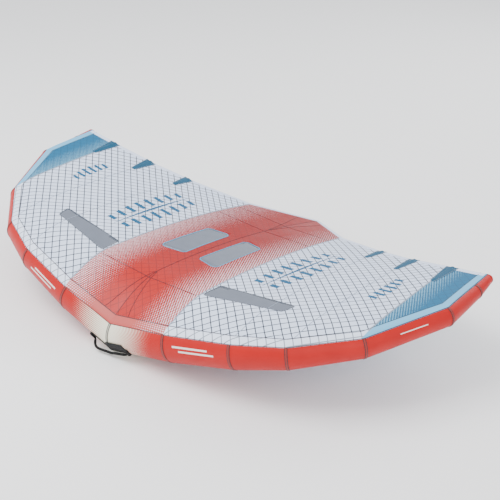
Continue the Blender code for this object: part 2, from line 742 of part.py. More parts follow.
def box_ring(middle, across, out, width, height, lift):
    """Four corners of a strap's section: width across, height out from a surface."""
    return [middle + across * width / 2 + out * lift, middle - across * width / 2 + out * lift,
            middle - across * width / 2 + out * (lift + height),
            middle + across * width / 2 + out * (lift + height)]


def strut_handles(datum):
    """Two loop handles under the strut, each swinging from a sewn base strip."""
    for place, start in HANDLE_STARTS:
        end = start + HANDLE_LENGTH
        slope = (strut_bottom(end) - strut_bottom(start)) / HANDLE_LENGTH
        samples = [start + HANDLE_LENGTH * i / 12 for i in range(13)]
        drop = min(strut_bottom(y) - slope * (y - start) for y in samples) - 2 * GAP
        along = Vector((0, 1, slope)).normalized()
        down = Vector((0, slope, -1)).normalized()
        across = Vector((1, 0, 0))
        origin = Vector((0, start, drop))
        reach = HANDLE_LENGTH / along.y

        foot = LUG_LENGTH + LUG_STEP
        sections = ((0, LUG_HEIGHT), (LUG_LENGTH, LUG_HEIGHT), (foot, BASE_THICKNESS),
                    (reach - foot, BASE_THICKNESS), (reach - LUG_LENGTH, LUG_HEIGHT),
                    (reach, LUG_HEIGHT))
        rings = [box_ring(origin + along * s, across, down, BASE_WIDTH, h, 0) for s, h in sections]
        add_solid(f"strut_handle_base_{place}", *loft_solid(rings), "webbing_black", datum)

        pivot_at = origin + down * (BASE_THICKNESS + HANDLE_PIVOT_DROP) + along * reach / 2
        pivot = add_empty(f"pivot_strut_handle_{place}", pivot_at, datum)
        half = reach / 2 - LUG_LENGTH - 2 * GAP
        path = []
        for k in range(7):
            blend = k / 6
            ease = blend * blend * (3 - 2 * blend)
            path.append((half - STUB_LENGTH - BEND_LENGTH * blend, HANDLE_DROP * ease))
        route = [(half, 0.0)] + path
        route += [(-s, d) for s, d in reversed(route)]
        points = [pivot_at - along * s + down * d for s, d in route]
        strap = sweep(points, [STRAP_RADIUS] * len(points), 8)
        add_solid(f"strut_handle_strap_{place}", *strap, "webbing_black", pivot)

        grip_half = half - STUB_LENGTH - BEND_LENGTH - STRAP_RADIUS
        frame = frame_along(pivot_at + down * HANDLE_DROP - along * grip_half, along)
        bore = STRAP_RADIUS + GAP
        length = 2 * grip_half
        rim = GRIP_RADIUS - GRIP_EDGE_DEPTH
        profile = ((bore, 0), (rim, 0), (GRIP_RADIUS, GRIP_EDGE_LENGTH),
                   (GRIP_RADIUS + GRIP_SWELL, length / 2), (GRIP_RADIUS, length - GRIP_EDGE_LENGTH),
                   (rim, length), (bore, length))
        add_solid(f"strut_handle_grip_{place}", *lathe(profile, frame, 14), "grip_foam", pivot)


def nose_direction():
    return Vector((0, -math.cos(NOSE_STRAP_ANGLE), -math.sin(NOSE_STRAP_ANGLE)))


def nose_handle(datum):
    """The front handle: a strap sewn along the nose and a slack loop between its ends."""
    out = nose_direction()
    across = Vector((0, -out.z, out.y))

    inner = NOSE_STRAP_HALF - NOSE_LUG_LENGTH
    sections = [(NOSE_STRAP_HALF, NOSE_LUG_HEIGHT), (inner, NOSE_LUG_HEIGHT),
                (inner - LUG_STEP, NOSE_STRAP_THICKNESS), (0.0, NOSE_STRAP_THICKNESS)]
    sections = [(-x, h) for x, h in sections] + sections[-2::-1]
    rings = [box_ring(on_nose_tube(x, out), across, out, NOSE_STRAP_WIDTH, h, NOSE_STRAP_LIFT)
             for x, h in sections]
    add_solid("nose_handle_base", *loft_solid(rings), "webbing_black", datum)

    pivot_at = on_nose_tube(NOSE_LOOP[-1][0], out, NOSE_PIVOT_LIFT)
    pivot_at.x = 0.0
    pivot = add_empty("pivot_nose_handle", pivot_at, datum)
    route = smooth_route([on_nose_tube(x, out, lift) for x, lift in NOSE_LOOP], 2)
    loop = sweep(route, [NOSE_LOOP_RADIUS] * len(route), 8)
    add_solid("nose_handle_loop", *loop, "webbing_black", pivot)


def smooth_route(points, between):
    """A smooth curve through the points, with some more of them between each two."""
    route = []
    for i in range(len(points) - 1):
        a, b, c, d = (points[min(max(i + k, 0), len(points) - 1)] for k in (-1, 0, 1, 2))
        for k in range(between):
            t = k / between
            route.append(0.5 * (2 * b + (c - a) * t + (2 * a - 5 * b + 4 * c - d) * t * t
                                + (3 * b - a - 3 * c + d) * t ** 3))
    return route + [points[-1]]


def frame_along(origin, direction, up=UP):
    """A frame at a point whose z runs along a direction, and whose y leans to up."""
    z = Vector(direction).normalized()
    x = Vector(up).cross(z)
    x = z.orthogonal() if x.length < 1e-6 else x
    x.normalize()
    frame = Matrix((x, z.cross(x), z)).transposed().to_4x4()
    frame.translation = origin
    return frame


def valve_frame():
    """The valve's own frame: z points level and straight back, y up, its origin on the cloth."""
    return frame_along(on_nose_tube(VALVE_X, ground_back()), ground_back(), ground_up())


def valve_hole_cutter(datum):
    """Shared by the cloth and the bladder: the hole that the valve goes through."""
    name = "cutter_valve_hole"
    if name not in bpy.data.objects:
        radius = VALVE_OUTER + VALVE_CLEARANCE
        shape = stack(((radius, -0.03), (radius, 0.02)), valve_frame(), 20)
        add_solid(name, *shape, "valve_plastic", datum)
    return bpy.data.objects[name]


def valve(datum):
    """The inflation valve: flanged body, sprung poppet and a cap on a hinge over it."""
    frame = valve_frame()
    top = VALVE_HEIGHT
    flange_low, flange_top = VALVE_FLANGE_LIFT, VALVE_FLANGE_LIFT + VALVE_FLANGE_THICKNESS
    profile = ((VALVE_BORE, -VALVE_DEPTH), (VALVE_OUTER, -VALVE_DEPTH),
               (VALVE_OUTER, flange_low), (VALVE_FLANGE, flange_low),
               (VALVE_FLANGE, flange_top), (VALVE_OUTER, flange_top),
               (VALVE_OUTER, top), (VALVE_BORE, top))
    body = add_solid("valve_body", *lathe(profile, frame, 24), "valve_plastic", datum)
    ear = box_points((-VALVE_EAR_WIDTH / 2, VALVE_EAR_START, flange_low + GAP),
                     (VALVE_EAR_WIDTH / 2, HINGE_REACH, top - 0.001), frame)
    add_boolean(body, add_solid("cutter_valve_ear", *ear, "valve_plastic", datum), "UNION")

    poppet_at = frame @ Vector((0, 0, POPPET_FLOOR + POPPET_DISC))
    poppet_pivot = add_empty("pivot_valve_poppet", poppet_at, datum)
    disc_top = POPPET_FLOOR + POPPET_DISC
    discs = ((POPPET_RADIUS, POPPET_FLOOR), (POPPET_RADIUS, disc_top),
             (POPPET_STEM_RADIUS, disc_top + GAP / 2), (POPPET_STEM_RADIUS, POPPET_STEM_TOP))
    add_solid("valve_poppet", *stack(discs, frame, 16), "valve_plastic", poppet_pivot)

    floor = top + CAP_LIFT
    hinge_at = frame @ Vector((0, HINGE_REACH, top - GAP / 2))
    cap_pivot = add_empty("pivot_valve_cap", hinge_at, datum)
    discs = ((CAP_RADIUS, floor), (CAP_RADIUS, floor + CAP_THICKNESS - 0.001),
             (CAP_RADIUS - 0.002, floor + CAP_THICKNESS))
    cap = add_solid("valve_cap", *stack(discs, frame, 24), "valve_plastic", cap_pivot)
    ear_low = floor + GAP / 2
    ear = box_points((-CAP_EAR_WIDTH / 2, CAP_EAR_START, ear_low),
                     (CAP_EAR_WIDTH / 2, HINGE_REACH, ear_low + CAP_EAR_THICKNESS), frame)
    add_boolean(cap, add_solid("cutter_cap_ear", *ear, "valve_plastic", cap_pivot), "UNION")


def hose_end_on_strut():
    """Where the hose enters the strut, and the direction in which it goes in."""
    inward = Vector((1, 0, 1)).normalized()
    centre, radius = strut_centre(HOSE_STRUT_Y), strut_radius(HOSE_STRUT_Y)
    return centre - inward * radius, inward


def hose_curve(t):
    """The hose's middle line: out of the leading edge, round and up into the strut."""
    end, inward = hose_end_on_strut()
    a = on_nose_tube(HOSE_X, ground_back(), HOSE_END_GAP)
    b = a + ground_back() * HOSE_STRAIGHT[0]
    d = end - inward * HOSE_END_GAP
    c = d - inward * HOSE_STRAIGHT[1]
    s = 1 - t
    return s ** 3 * a + 3 * s * s * t * b + 3 * s * t * t * c + t ** 3 * d


def air_hose(datum):
    """The hose that fills the strut from the leading edge, and the lever clamp that shuts it."""
    steps = [0.0, 0.008, 0.012] + [i / 14 for i in range(1, 14)] + [0.988, 0.992, 1.0]
    radii = [HOSE_CUFF_RADIUS] * 2 + [HOSE_RADIUS] * (len(steps) - 4) + [HOSE_CUFF_RADIUS] * 2
    path = [hose_curve(t) for t in steps]
    add_solid("air_hose", *sweep(path, radii, 10), "hose_silicone", datum)

    ahead = (hose_curve(CLAMP_AT + 0.01) - hose_curve(CLAMP_AT - 0.01)).normalized()
    frame = frame_along(hose_curve(CLAMP_AT), ahead)
    half = CLAMP_LENGTH / 2
    wide, high = CLAMP_WIDTH / 2, CLAMP_HEIGHT / 2
    block = box_points((-wide, -high, -half), (wide, high, half), frame)
    clamp = add_solid("hose_clamp_body", *block, "valve_plastic", datum)
    bore = stack(((CLAMP_BORE, -half - 0.01), (CLAMP_BORE, half + 0.01)), frame, 16)
    add_boolean(clamp, add_solid("cutter_clamp_bore", *bore, "valve_plastic", datum))

    low = high + LEVER_LIFT
    top = low + LEVER_THICKNESS
    hinge_at = frame @ Vector((-wide, low, 0))
    pivot = add_empty("pivot_clamp_lever", hinge_at, datum)
    tip = LEVER_LENGTH - wide
    outline = ((-wide, low), (tip, low), (tip + LEVER_LIP, low + LEVER_LIP * 0.75),
               (tip + LEVER_LIP / 2, top + LEVER_LIP / 4), (-wide + LEVER_LIP * 0.75, top),
               (-wide, top - LEVER_LIP / 2))
    reach = half - 0.002
    rings = [[frame @ Vector((x, y, z)) for x, y in outline] for z in (-reach, reach)]
    add_solid("hose_clamp_lever", *loft_solid(rings), "lever_red", pivot)


def leash_loop(datum):
    """A flat webbing loop on the back of the nose, open from side to side."""
    foot = on_nose_tube(0.0, ground_back(), LEASH_LIFT)
    frame = frame_along(foot, ground_back(), ground_up())

    def outline(inset, corner):
        tall, low, high = LEASH_HEIGHT / 2 - inset, inset, LEASH_REACH - inset
        return ((-tall, low), (tall, low), (tall, high - corner), (tall - corner, high),
                (-tall + corner, high), (-tall, high - corner))

    halves = (-LEASH_WIDTH / 2, LEASH_WIDTH / 2)
    rings = [[[frame @ Vector((x, y, z)) for y, z in edge] for x in halves]
             for edge in (outline(0.0, LEASH_CORNER), outline(LEASH_WALL, LEASH_CORNER / 2))]
    add_solid("leash_loop", *loft_shell(*rings), "webbing_black", datum)


def stand_on_ground(datum):
    """Tips the wing back and puts the middle of its footprint on the origin."""
    datum.rotation_euler = (PITCH, 0, 0)
    bpy.context.view_layer.update()
    graph = bpy.context.evaluated_depsgraph_get()
    corners = []
    for item in bpy.context.scene.objects:
        if item.type == "MESH" and not item.hide_render:
            shape = item.evaluated_get(graph)
            corners += [item.matrix_world @ v.co for v in shape.data.vertices]
    low = Vector([min(c[i] for c in corners) for i in range(3)])
    high = Vector([max(c[i] for c in corners) for i in range(3)])
    datum.location = (-(low.x + high.x) / 2, -(low.y + high.y) / 2, -low.z)
    bpy.context.view_layer.update()


def build():
    clear_scene()
    datum = add_empty("datum", (0, 0, 0))
    tube_panels(datum)
    le_bladder(datum)
    canopy(datum)
    batten_pockets(datum)
    strut(datum)
    strut_handles(datum)
    nose_handle(datum)
    valve(datum)
    air_hose(datum)
    leash_loop(datum)
    stand_on_ground(datum)


build()
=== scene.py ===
# %% [markdown]
# # An inflatable hand-held wing, piece by piece
# A foiling wing is an inflated tube bent into a bow, a sheet of ripstop cloth stretched behind
# it, and a second inflated tube, the strut, under its middle with handles on it. The solid model
# is loaded first as a fixed frame. It says where every piece is and how the moving ones move,
# and this lesson then gives each piece its real surface.

# %% Load the fixed frame
import math

import bmesh
import bpy
import numpy as np
from mathutils import Matrix, Vector


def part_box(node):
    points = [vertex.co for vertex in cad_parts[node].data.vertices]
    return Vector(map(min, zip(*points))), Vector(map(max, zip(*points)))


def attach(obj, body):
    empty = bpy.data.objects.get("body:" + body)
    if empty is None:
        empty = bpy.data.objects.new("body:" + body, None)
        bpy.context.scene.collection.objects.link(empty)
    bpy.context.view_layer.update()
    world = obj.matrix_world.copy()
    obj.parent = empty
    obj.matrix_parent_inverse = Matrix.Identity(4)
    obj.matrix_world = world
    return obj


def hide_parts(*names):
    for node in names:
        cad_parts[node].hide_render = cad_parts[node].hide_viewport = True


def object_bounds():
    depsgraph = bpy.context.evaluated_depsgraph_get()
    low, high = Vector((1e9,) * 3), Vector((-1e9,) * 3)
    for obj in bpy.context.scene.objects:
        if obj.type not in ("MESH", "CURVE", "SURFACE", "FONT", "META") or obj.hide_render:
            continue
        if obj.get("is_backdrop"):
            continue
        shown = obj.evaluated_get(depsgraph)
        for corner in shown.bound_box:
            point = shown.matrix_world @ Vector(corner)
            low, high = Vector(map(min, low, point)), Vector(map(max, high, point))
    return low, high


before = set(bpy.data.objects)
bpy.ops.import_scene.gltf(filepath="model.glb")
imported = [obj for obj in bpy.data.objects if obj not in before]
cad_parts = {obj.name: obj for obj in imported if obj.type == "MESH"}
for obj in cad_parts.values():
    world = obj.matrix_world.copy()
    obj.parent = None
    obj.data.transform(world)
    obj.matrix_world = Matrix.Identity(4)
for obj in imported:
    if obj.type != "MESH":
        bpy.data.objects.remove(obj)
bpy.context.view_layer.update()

# %% [markdown]
# ## The camera
# A product picture of a big flat object is taken from above and one side, from far enough away
# that its near and far tips keep their proportions. A camera is easiest to place by the three
# directions of its own frame: right, up and back. Their columns make its matrix.

# %% Camera
def show(thing):
    """Puts a new object into the scene."""
    bpy.context.scene.collection.objects.link(thing)
    return thing


CAMERA_POSITION = (3.614, -4.535, 3.459)
CAMERA_RIGHT = (0.78673, 0.61633, 0.03453)
CAMERA_UP = (-0.32026, 0.35970, 0.87639)
CAMERA_BACK = (0.52772, -0.70053, 0.48037)
lens_data = bpy.data.cameras.new("main_view")
lens_data.sensor_width = 36.0
lens_data.lens = 72.0
camera = show(bpy.data.objects.new("main_view", lens_data))
turned = Matrix((CAMERA_RIGHT, CAMERA_UP, CAMERA_BACK)).transposed().to_4x4()
camera.matrix_world = Matrix.Translation(CAMERA_POSITION) @ turned
bpy.context.scene.camera = camera
print("camera distance", round(Vector(CAMERA_POSITION).length, 2), "m")

# %% [markdown]
# ## The wing's own frame
# Sailmakers measure a wing from its nose: x to the tip, y back along the chord and z up. Lying on
# the ground, the wing is tipped back a little. So points are worked out in the wing's frame, and
# one matrix carries them to the ground's. The same few stations that the solid model is drawn
# from come back here, so that the fine surfaces fall on the solid ones.

# %% Stations and the move to the ground
PITCH = math.radians(-4.1)
NOSE_SEAM = Vector((0.0, -1.07353, 0.22594))
TO_GROUND = Matrix.Translation(NOSE_SEAM) @ Matrix.Rotation(PITCH, 4, "X")
UP = Vector((0, 0, 1))
# Leading edge: x, y, z of the canopy seam, the tube's diameter, the seam's angle in degrees.
LE_STATIONS = ((0.000, 0.000, 0.000, 0.265, 39), (0.399, 0.017, 0.086, 0.262, 38),
               (0.822, 0.083, 0.175, 0.235, 40), (1.112, 0.205, 0.228, 0.195, 47),
               (1.412, 0.492, 0.294, 0.160, 58), (1.643, 0.987, 0.386, 0.135, 75),
               (1.647, 1.304, 0.416, 0.095, 95), (1.650, 1.445, 0.432, 0.060, 115),)
# Trailing edge: x, y, z.
TE_STATIONS = ((0.000, 2.188, 0.000), (0.416, 1.858, 0.106), (0.802, 1.670, 0.211),
               (1.086, 1.561, 0.290), (1.379, 1.475, 0.376), (1.650, 1.445, 0.432),)
SIDES = ((-1, "left"), (1, "right"))


def tube_centres():
    """The middle of the leading-edge tube at each station."""
    seams = [Vector(s[:3]) for s in LE_STATIONS]
    centres = []
    for i, (_, _, _, diameter, seam_angle) in enumerate(LE_STATIONS):
        before = (seams[i] - seams[i - 1]).normalized() if i else None
        after = (seams[i + 1] - seams[i]).normalized() if i + 1 < len(seams) else None
        if before is None:
            tangent = Vector((1, 0, 0))
        elif after is None:
            tangent = before
        else:
            tangent = (before + after).normalized()
        lift = (UP - UP.dot(tangent) * tangent).normalized()
        angle = math.radians(seam_angle)
        spoke = math.cos(angle) * tangent.cross(lift) + math.sin(angle) * lift
        centres.append(seams[i] - diameter / 2 * spoke)
    return centres


LE_CENTRES = tube_centres()
LE_RADII = [s[3] / 2 for s in LE_STATIONS]
LE_AXES = [(b - a).normalized() for a, b in zip(LE_CENTRES, LE_CENTRES[1:])]
LAST = len(LE_AXES)
print("tube centres", [tuple(round(v, 3) for v in c) for c in LE_CENTRES])

# %% [markdown]
# ## Colours and nodes
# A paint chart gives colours as sRGB hex values, but a shader adds light in linear numbers, so
# one function turns the first into the second. One more small function adds a node with its
# settings and its links, and every material below is written with it.

# %% Colour and node helpers
def colour(code):
    """A hex colour from a chart as the linear numbers that a shader adds up."""
    parts = [int(code[i:i + 2], 16) / 255 for i in (1, 3, 5)]
    linear = [p / 12.92 if p <= 0.04045 else ((p + 0.055) / 1.055) ** 2.4 for p in parts]
    return (*linear, 1.0)


def set_inputs(node, inputs):
    """Sets a node's inputs to plain values, to sockets, or to other nodes' first outputs."""
    for socket, value in inputs.items():
        if isinstance(value, bpy.types.Node):
            value = value.outputs[0]
        if isinstance(value, bpy.types.NodeSocket):
            node.id_data.links.new(value, node.inputs[socket])
        else:
            node.inputs[socket].default_value = value


def add_node(tree, kind, inputs=None, **settings):
    """Adds a node and sets it up; a short kind is a shader node's."""
    made = tree.nodes.new(kind if "Node" in kind else "ShaderNode" + kind)
    for name, value in settings.items():
        setattr(made, name, value)
    set_inputs(made, inputs or {})
    return made


def start_material(name, roughness, values=None):
    """A new material, its node tree and its shader, with constants set on the shader."""
    made = bpy.data.materials.new(name)
    made.use_nodes = True
    shader = made.node_tree.nodes["Principled BSDF"]
    set_inputs(shader, {"Roughness": roughness, **(values or {})})
    return made, made.node_tree, shader


def mix_colours(tree, amount, first, second):
    """One colour where amount is 0 and another where it is 1."""
    made = add_node(tree, "Mix", {0: amount, 6: first, 7: second}, data_type="RGBA")
    return made.outputs[2]


print("linear value of a mid red", [round(v, 3) for v in colour("#C8453C")])

# %% [markdown]
# ## Woven cloth
# Every cloth on the wing is woven polyester. Its threads are about 0.3 mm apart, far too fine to
# see from a few metres, so they are drawn 3 mm apart: two crossing waves, which become a bump.
# A soft noise over it stands for the way in which a coated cloth never lies quite even, and it
# also moves the roughness a little.

# %% Weave and unevenness
THREAD_PITCH = 0.003            # drawn ten times as coarse as real threads, so that it shows
WAVE_PERIOD = 2 * math.pi / 20  # a wave texture's period at scale 1, in metres


def add_weave(tree, shader, vector, pitch=THREAD_PITCH, depth=0.00025, uneven=(0.42, 0.58)):
    """Bump from crossing threads and slow ripples, and an uneven roughness."""
    waves = []
    for direction in ("X", "Y"):
        waves.append(add_node(tree, "TexWave", {"Vector": vector, "Scale": WAVE_PERIOD / pitch},
                              bands_direction=direction).outputs["Fac"])
    threads = add_node(tree, "Math", {0: waves[0], 1: waves[1]}, operation="MULTIPLY")
    place = add_node(tree, "TexCoord").outputs["Object"]
    ripples = add_node(tree, "TexNoise", {"Vector": place, "Scale": 9.0, "Detail": 3.0})
    fine = add_node(tree, "Bump", {"Strength": 0.35, "Distance": depth, "Height": threads})
    slow = add_node(tree, "Bump", {"Strength": 0.25, "Distance": 0.006,
                                   "Height": ripples.outputs["Fac"], "Normal": fine})
    rough = add_node(tree, "MapRange", {"Value": ripples.outputs["Fac"], "To Min": uneven[0],
                                        "To Max": uneven[1]})
    set_inputs(shader, {"Normal": slow, "Roughness": rough})
    return ripples.outputs["Fac"]


# %% [markdown]
# ## Coated tube cloth, red
# The leading edge is sewn from heavy woven polyester, coated and dyed. It shines softly like
# sailcloth, and dirt and folds leave slightly darker clouds in the red. The weave follows the
# tube through its own map, in metres along and round it.

# %% Red tube cloth
SAILCLOTH_SHINE = {"Sheen Weight": 0.03, "Specular IOR Level": 0.3}


def plain_cloth(name, light, dark, uv_map="plan", uneven=(0.48, 0.64)):
    """Plain woven cloth in one colour, a little cloudy; uneven is its roughness."""
    made, tree, shader = start_material(name, 0.55, SAILCLOTH_SHINE)
    clouds = add_weave(tree, shader, add_node(tree, "UVMap", uv_map=uv_map), uneven=uneven)
    mixed = mix_colours(tree, clouds, colour(light), colour(dark))
    set_inputs(shader, {"Base Color": mixed})
    return made


RED_TUBE, CREAM_TUBE = [
    plain_cloth(f"tube_cloth_{name}_woven_coated", *codes, uv_map="cloth", uneven=(0.42, 0.58))
    for name, codes in (("red", ("#BE0603", "#A80402")), ("cream", ("#F1EDDA", "#DDD8C0")))]
print("tube cloths", RED_TUBE.name, CREAM_TUBE.name)

# %% [markdown]
# ## The printed nose cloth
# The two panels at the nose start cream and turn red further out. The printer does this with
# slanting streaks that widen until they meet. A ping-pong of a slanted coordinate gives the
# streaks, and the distance from the middle sets how much of each is red.

# %% Nose cloth
STREAK_PITCH = 0.014
NOSE_FADE = (0.005, 0.330)      # from cream to red, metres from the middle


def nose_cloth():
    """Cream sailcloth with slanting streaks that grow into solid red."""
    made, tree, shader = start_material("tube_cloth_printed_nose", 0.5, {"Specular IOR Level": 0.3})
    along = add_node(tree, "UVMap", uv_map="cloth")
    clouds = add_weave(tree, shader, along)
    place = add_node(tree, "TexCoord").outputs["Object"]
    parts = add_node(tree, "SeparateXYZ", {0: place})
    away = add_node(tree, "Math", {0: parts}, operation="ABSOLUTE")
    slant = add_node(tree, "Math", {0: away, 1: parts.outputs[2]}, operation="ADD")
    streak = add_node(tree, "Math", {0: slant, 1: STREAK_PITCH / 2}, operation="PINGPONG")
    grown = add_node(tree, "MapRange", {
        "Value": away, "From Min": NOSE_FADE[0], "From Max": NOSE_FADE[1],
        "To Min": -STREAK_PITCH * 0.1, "To Max": STREAK_PITCH * 0.6})
    reach = add_node(tree, "Math", {0: grown, 1: streak}, operation="SUBTRACT")
    inked = add_node(tree, "MapRange", {
        "Value": reach, "From Min": -STREAK_PITCH * 0.16,
        "From Max": STREAK_PITCH * 0.16}, interpolation_type="SMOOTHSTEP")
    cream = mix_colours(tree, clouds, colour("#F4F0DC"), colour("#E2DDC6"))
    red = mix_colours(tree, clouds, colour("#BE0603"), colour("#A80402"))
    mixed = mix_colours(tree, inked, cream, red)
    set_inputs(shader, {"Base Color": mixed})
    return made


NOSE_TUBE = nose_cloth()
print("nose print fades over", round(NOSE_FADE[1] - NOSE_FADE[0], 3), "m")

# %% [markdown]
# ## Ripstop canopy cloth
# Ripstop is thin polyester with a thicker yarn every so often, in both directions, so that a tear
# stops. On this canopy the cloth is laid at 45 degrees to the chord, and its dark yarns make a
# net of squares 46 mm wide. The map called plan holds each point's place in the wing's plan, in
# metres, so that net, print and seams all follow the cloth. The sum and the difference of the
# two coordinates run along the two diagonals.

# %% The yarn net
NET_PITCH = 0.046
YARN_WIDTH = 0.0056             # drawn wider than the real 1 mm bundle, so that it shows
ROOT_TWO = math.sqrt(2)


def yarn_net(tree, across, along, width=YARN_WIDTH):
    """1 on a thick yarn and 0 between yarns."""
    lines = []
    for operation in ("ADD", "SUBTRACT"):
        diagonal = add_node(tree, "Math", {0: across, 1: along}, operation=operation)
        nearest = add_node(tree, "Math", {0: diagonal, 1: NET_PITCH * ROOT_TWO / 2},
                           operation="PINGPONG")
        line = add_node(tree, "MapRange", {"Value": nearest, "From Min": width * ROOT_TWO * 0.3,
                                           "From Max": width * ROOT_TWO * 0.7, "To Min": 1.0,
                                           "To Max": 0.0}, interpolation_type="SMOOTHSTEP")
        lines.append(line)
    return add_node(tree, "Math", {0: lines[0], 1: lines[1]}, operation="MAXIMUM")


def start_ripstop(name):
    """Thin coated ripstop ready for its print, with its tree and plan coordinates, and clouds."""
    made, tree, shader = start_material(name, 0.5, {**SAILCLOTH_SHINE, "Sheen Weight": 0.02})
    plan = add_node(tree, "UVMap", uv_map="plan")
    clouds = add_weave(tree, shader, plan, depth=0.0002, uneven=(0.38, 0.55))
    parts = add_node(tree, "SeparateXYZ", {0: plan})
    away = add_node(tree, "Math", {0: parts}, operation="ABSOLUTE")
    return (made, tree, shader, away, parts.outputs[1]), clouds


def under_net(cloth, printed, yarn, share, width=YARN_WIDTH):
    """Ends a ripstop cloth: a share of the yarns' colour over its print."""
    made, tree, shader, away, back = cloth
    net = yarn_net(tree, away, back, width)
    seen = add_node(tree, "Math", {0: net, 1: share}, operation="MULTIPLY")
    set_inputs(shader, {"Base Color": mix_colours(tree, seen, printed, colour(yarn))})
    return made


def white_ripstop():
    """White ripstop with its dark net."""
    (made, tree, shader, away, back), clouds = start_ripstop("ripstop_white_woven")
    net = yarn_net(tree, away, back)
    white = mix_colours(tree, clouds, colour("#E0EBFF"), colour("#CEDCF6"))
    mixed = mix_colours(tree, net, white, colour("#060B12"))
    set_inputs(shader, {"Base Color": mixed})
    return made


WHITE_RIPSTOP = white_ripstop()
print("net pitch", NET_PITCH, "m at 45 degrees")

# %% [markdown]
# ## Halftone print
# A screen printer fades one ink into bare cloth with dots that grow. Dots on a net 16 mm wide
# are the distance to the nearest net point compared with a radius. The net leans and is squeezed
# front to back, so that its dots line up in slanting columns. The radius follows the share of
# cloth that stays bare. The red band is solid at the middle and 40 per cent bare at its edge;
# the blue tips are solid at the edge and paler inwards.

# %% Halftone and the printed cloths
DOT_PITCH, DOT_SQUEEZE, DOT_LEAN = 0.016, 1.7, 0.5


def halftone(tree, cover):
    """1 inside a dot; the dots cover the given share of the cloth."""
    plan = add_node(tree, "UVMap", uv_map="plan")
    parts = add_node(tree, "SeparateXYZ", {0: plan})
    along = add_node(tree, "Math", {0: parts.outputs[1], 1: DOT_SQUEEZE}, operation="MULTIPLY")
    lean = add_node(tree, "Math", {0: parts.outputs[1], 1: DOT_LEAN}, operation="MULTIPLY")
    across = add_node(tree, "Math", {0: parts, 1: lean}, operation="ADD")
    squares = []
    for value in (across, along):
        nearest = add_node(tree, "Math", {0: value, 1: DOT_PITCH / 2}, operation="PINGPONG")
        square = add_node(tree, "Math", {0: nearest, 1: 2.0}, operation="POWER")
        squares.append(square)
    total = add_node(tree, "Math", {0: squares[0], 1: squares[1]}, operation="ADD")
    away = add_node(tree, "Math", {0: total}, operation="SQRT")
    root = add_node(tree, "Math", {0: cover}, operation="SQRT")
    radius = add_node(tree, "Math", {0: root, 1: DOT_PITCH / math.sqrt(math.pi)},
                      operation="MULTIPLY")
    inside = add_node(tree, "Math", {0: radius, 1: away}, operation="SUBTRACT")
    soft = DOT_PITCH * 0.04
    return add_node(tree, "MapRange", {"Value": inside, "From Min": -soft, "From Max": soft},
                    interpolation_type="SMOOTHSTEP")


def ramp(tree, value, stops):
    """A colour that changes through (place, hex) stops."""
    made = add_node(tree, "ValToRGB", {0: value})
    points = made.color_ramp.elements
    while len(points) < len(stops):
        points.new(0.5)
    for point, (place, code) in zip(points, stops):
        point.position = place
        point.color = colour(code)
    return made


def red_ripstop():
    """The red middle band, with bare dots that grow outwards, and a painted sheen: paler red behind
    the nose, deeper towards the tail.
    """
    cloth = start_ripstop("ripstop_red_halftone_print_painted_sheen")[0]
    tree, away, back = cloth[1], *cloth[3:]
    bare = add_node(tree, "MapRange", {
        "Value": away, "From Min": 0.13, "From Max": 0.43, "To Min": 0.0, "To Max": 0.40},
        interpolation_type="SMOOTHSTEP")
    rearward = add_node(tree, "MapRange", {
        "Value": back, "From Min": 0.7, "From Max": 1.9, "To Min": 1.0, "To Max": 0.4})
    thinned = add_node(tree, "Math", {0: bare, 1: rearward}, operation="MULTIPLY")
    dots = halftone(tree, thinned)
    # Painted sheen: the red runs paler behind the nose and deeper towards the tail, a highlight
    # painted into the colour along the chord.
    chord = add_node(tree, "Math", {0: back, 1: 2.2}, operation="DIVIDE")
    red = ramp(tree, chord, ((0.0, "#B0120B"), (0.16, "#AE1A13"), (0.33, "#A00D08"),
                             (0.6, "#920704"), (1.0, "#980806")))
    printed = mix_colours(tree, dots, red, colour("#F4ECF4"))
    return under_net(cloth, printed, "#3A161C", 0.40, YARN_WIDTH * 0.8)


def blue_ripstop():
    """The blue tips, solid at the outer edge and paler inwards."""
    cloth = start_ripstop("ripstop_blue_halftone_print")[0]
    tree, away = cloth[1], cloth[3]
    bare = add_node(tree, "MapRange", {
        "Value": away, "From Min": 1.405, "From Max": 1.535, "To Min": 0.36, "To Max": 0.0})
    dots = halftone(tree, bare)
    printed = mix_colours(tree, dots, colour("#006088"), colour("#8CC4E0"))
    return under_net(cloth, printed, "#1C3A52", 0.40, YARN_WIDTH * 0.8)


RED_RIPSTOP = red_ripstop()
BLUE_RIPSTOP = blue_ripstop()
print("printed cloths", RED_RIPSTOP.name, BLUE_RIPSTOP.name)

# %% [markdown]
# ## The closure strip's cloth
# Along the tube the canopy ends under a strip of the same cloth, 45 mm wide. It is pink over the
# red band, white over the white panels and pale blue at the tips, because each panel's print
# runs under it and shows through.

# %% Closure strip and plain sailcloths
def closure_cloth():
    """White ripstop through which the print under it shows."""
    made, tree, shader, away, back = start_ripstop("closure_strip_ripstop")[0]
    shown = add_node(tree, "MapRange", {
        "Value": away, "From Min": 0.16, "From Max": 0.43, "To Min": 0.0, "To Max": 0.48})
    dots = halftone(tree, shown)
    pink = mix_colours(tree, dots, colour("#BC504A"), colour("#E4CCD6"))
    past_red = add_node(tree, "Math", {0: away, 1: 0.4}, operation="GREATER_THAN")
    past_white = add_node(tree, "Math", {0: away, 1: 1.405}, operation="GREATER_THAN")
    net = yarn_net(tree, away, back)
    faint = add_node(tree, "Math", {0: net, 1: 0.7}, operation="MULTIPLY")
    white = mix_colours(tree, faint, colour("#E2ECFF"), colour("#28323E"))
    inner = mix_colours(tree, past_red, pink, white)
    mixed = mix_colours(tree, past_white, inner, colour("#6CB4DC"))
    set_inputs(shader, {"Base Color": mixed})
    return made


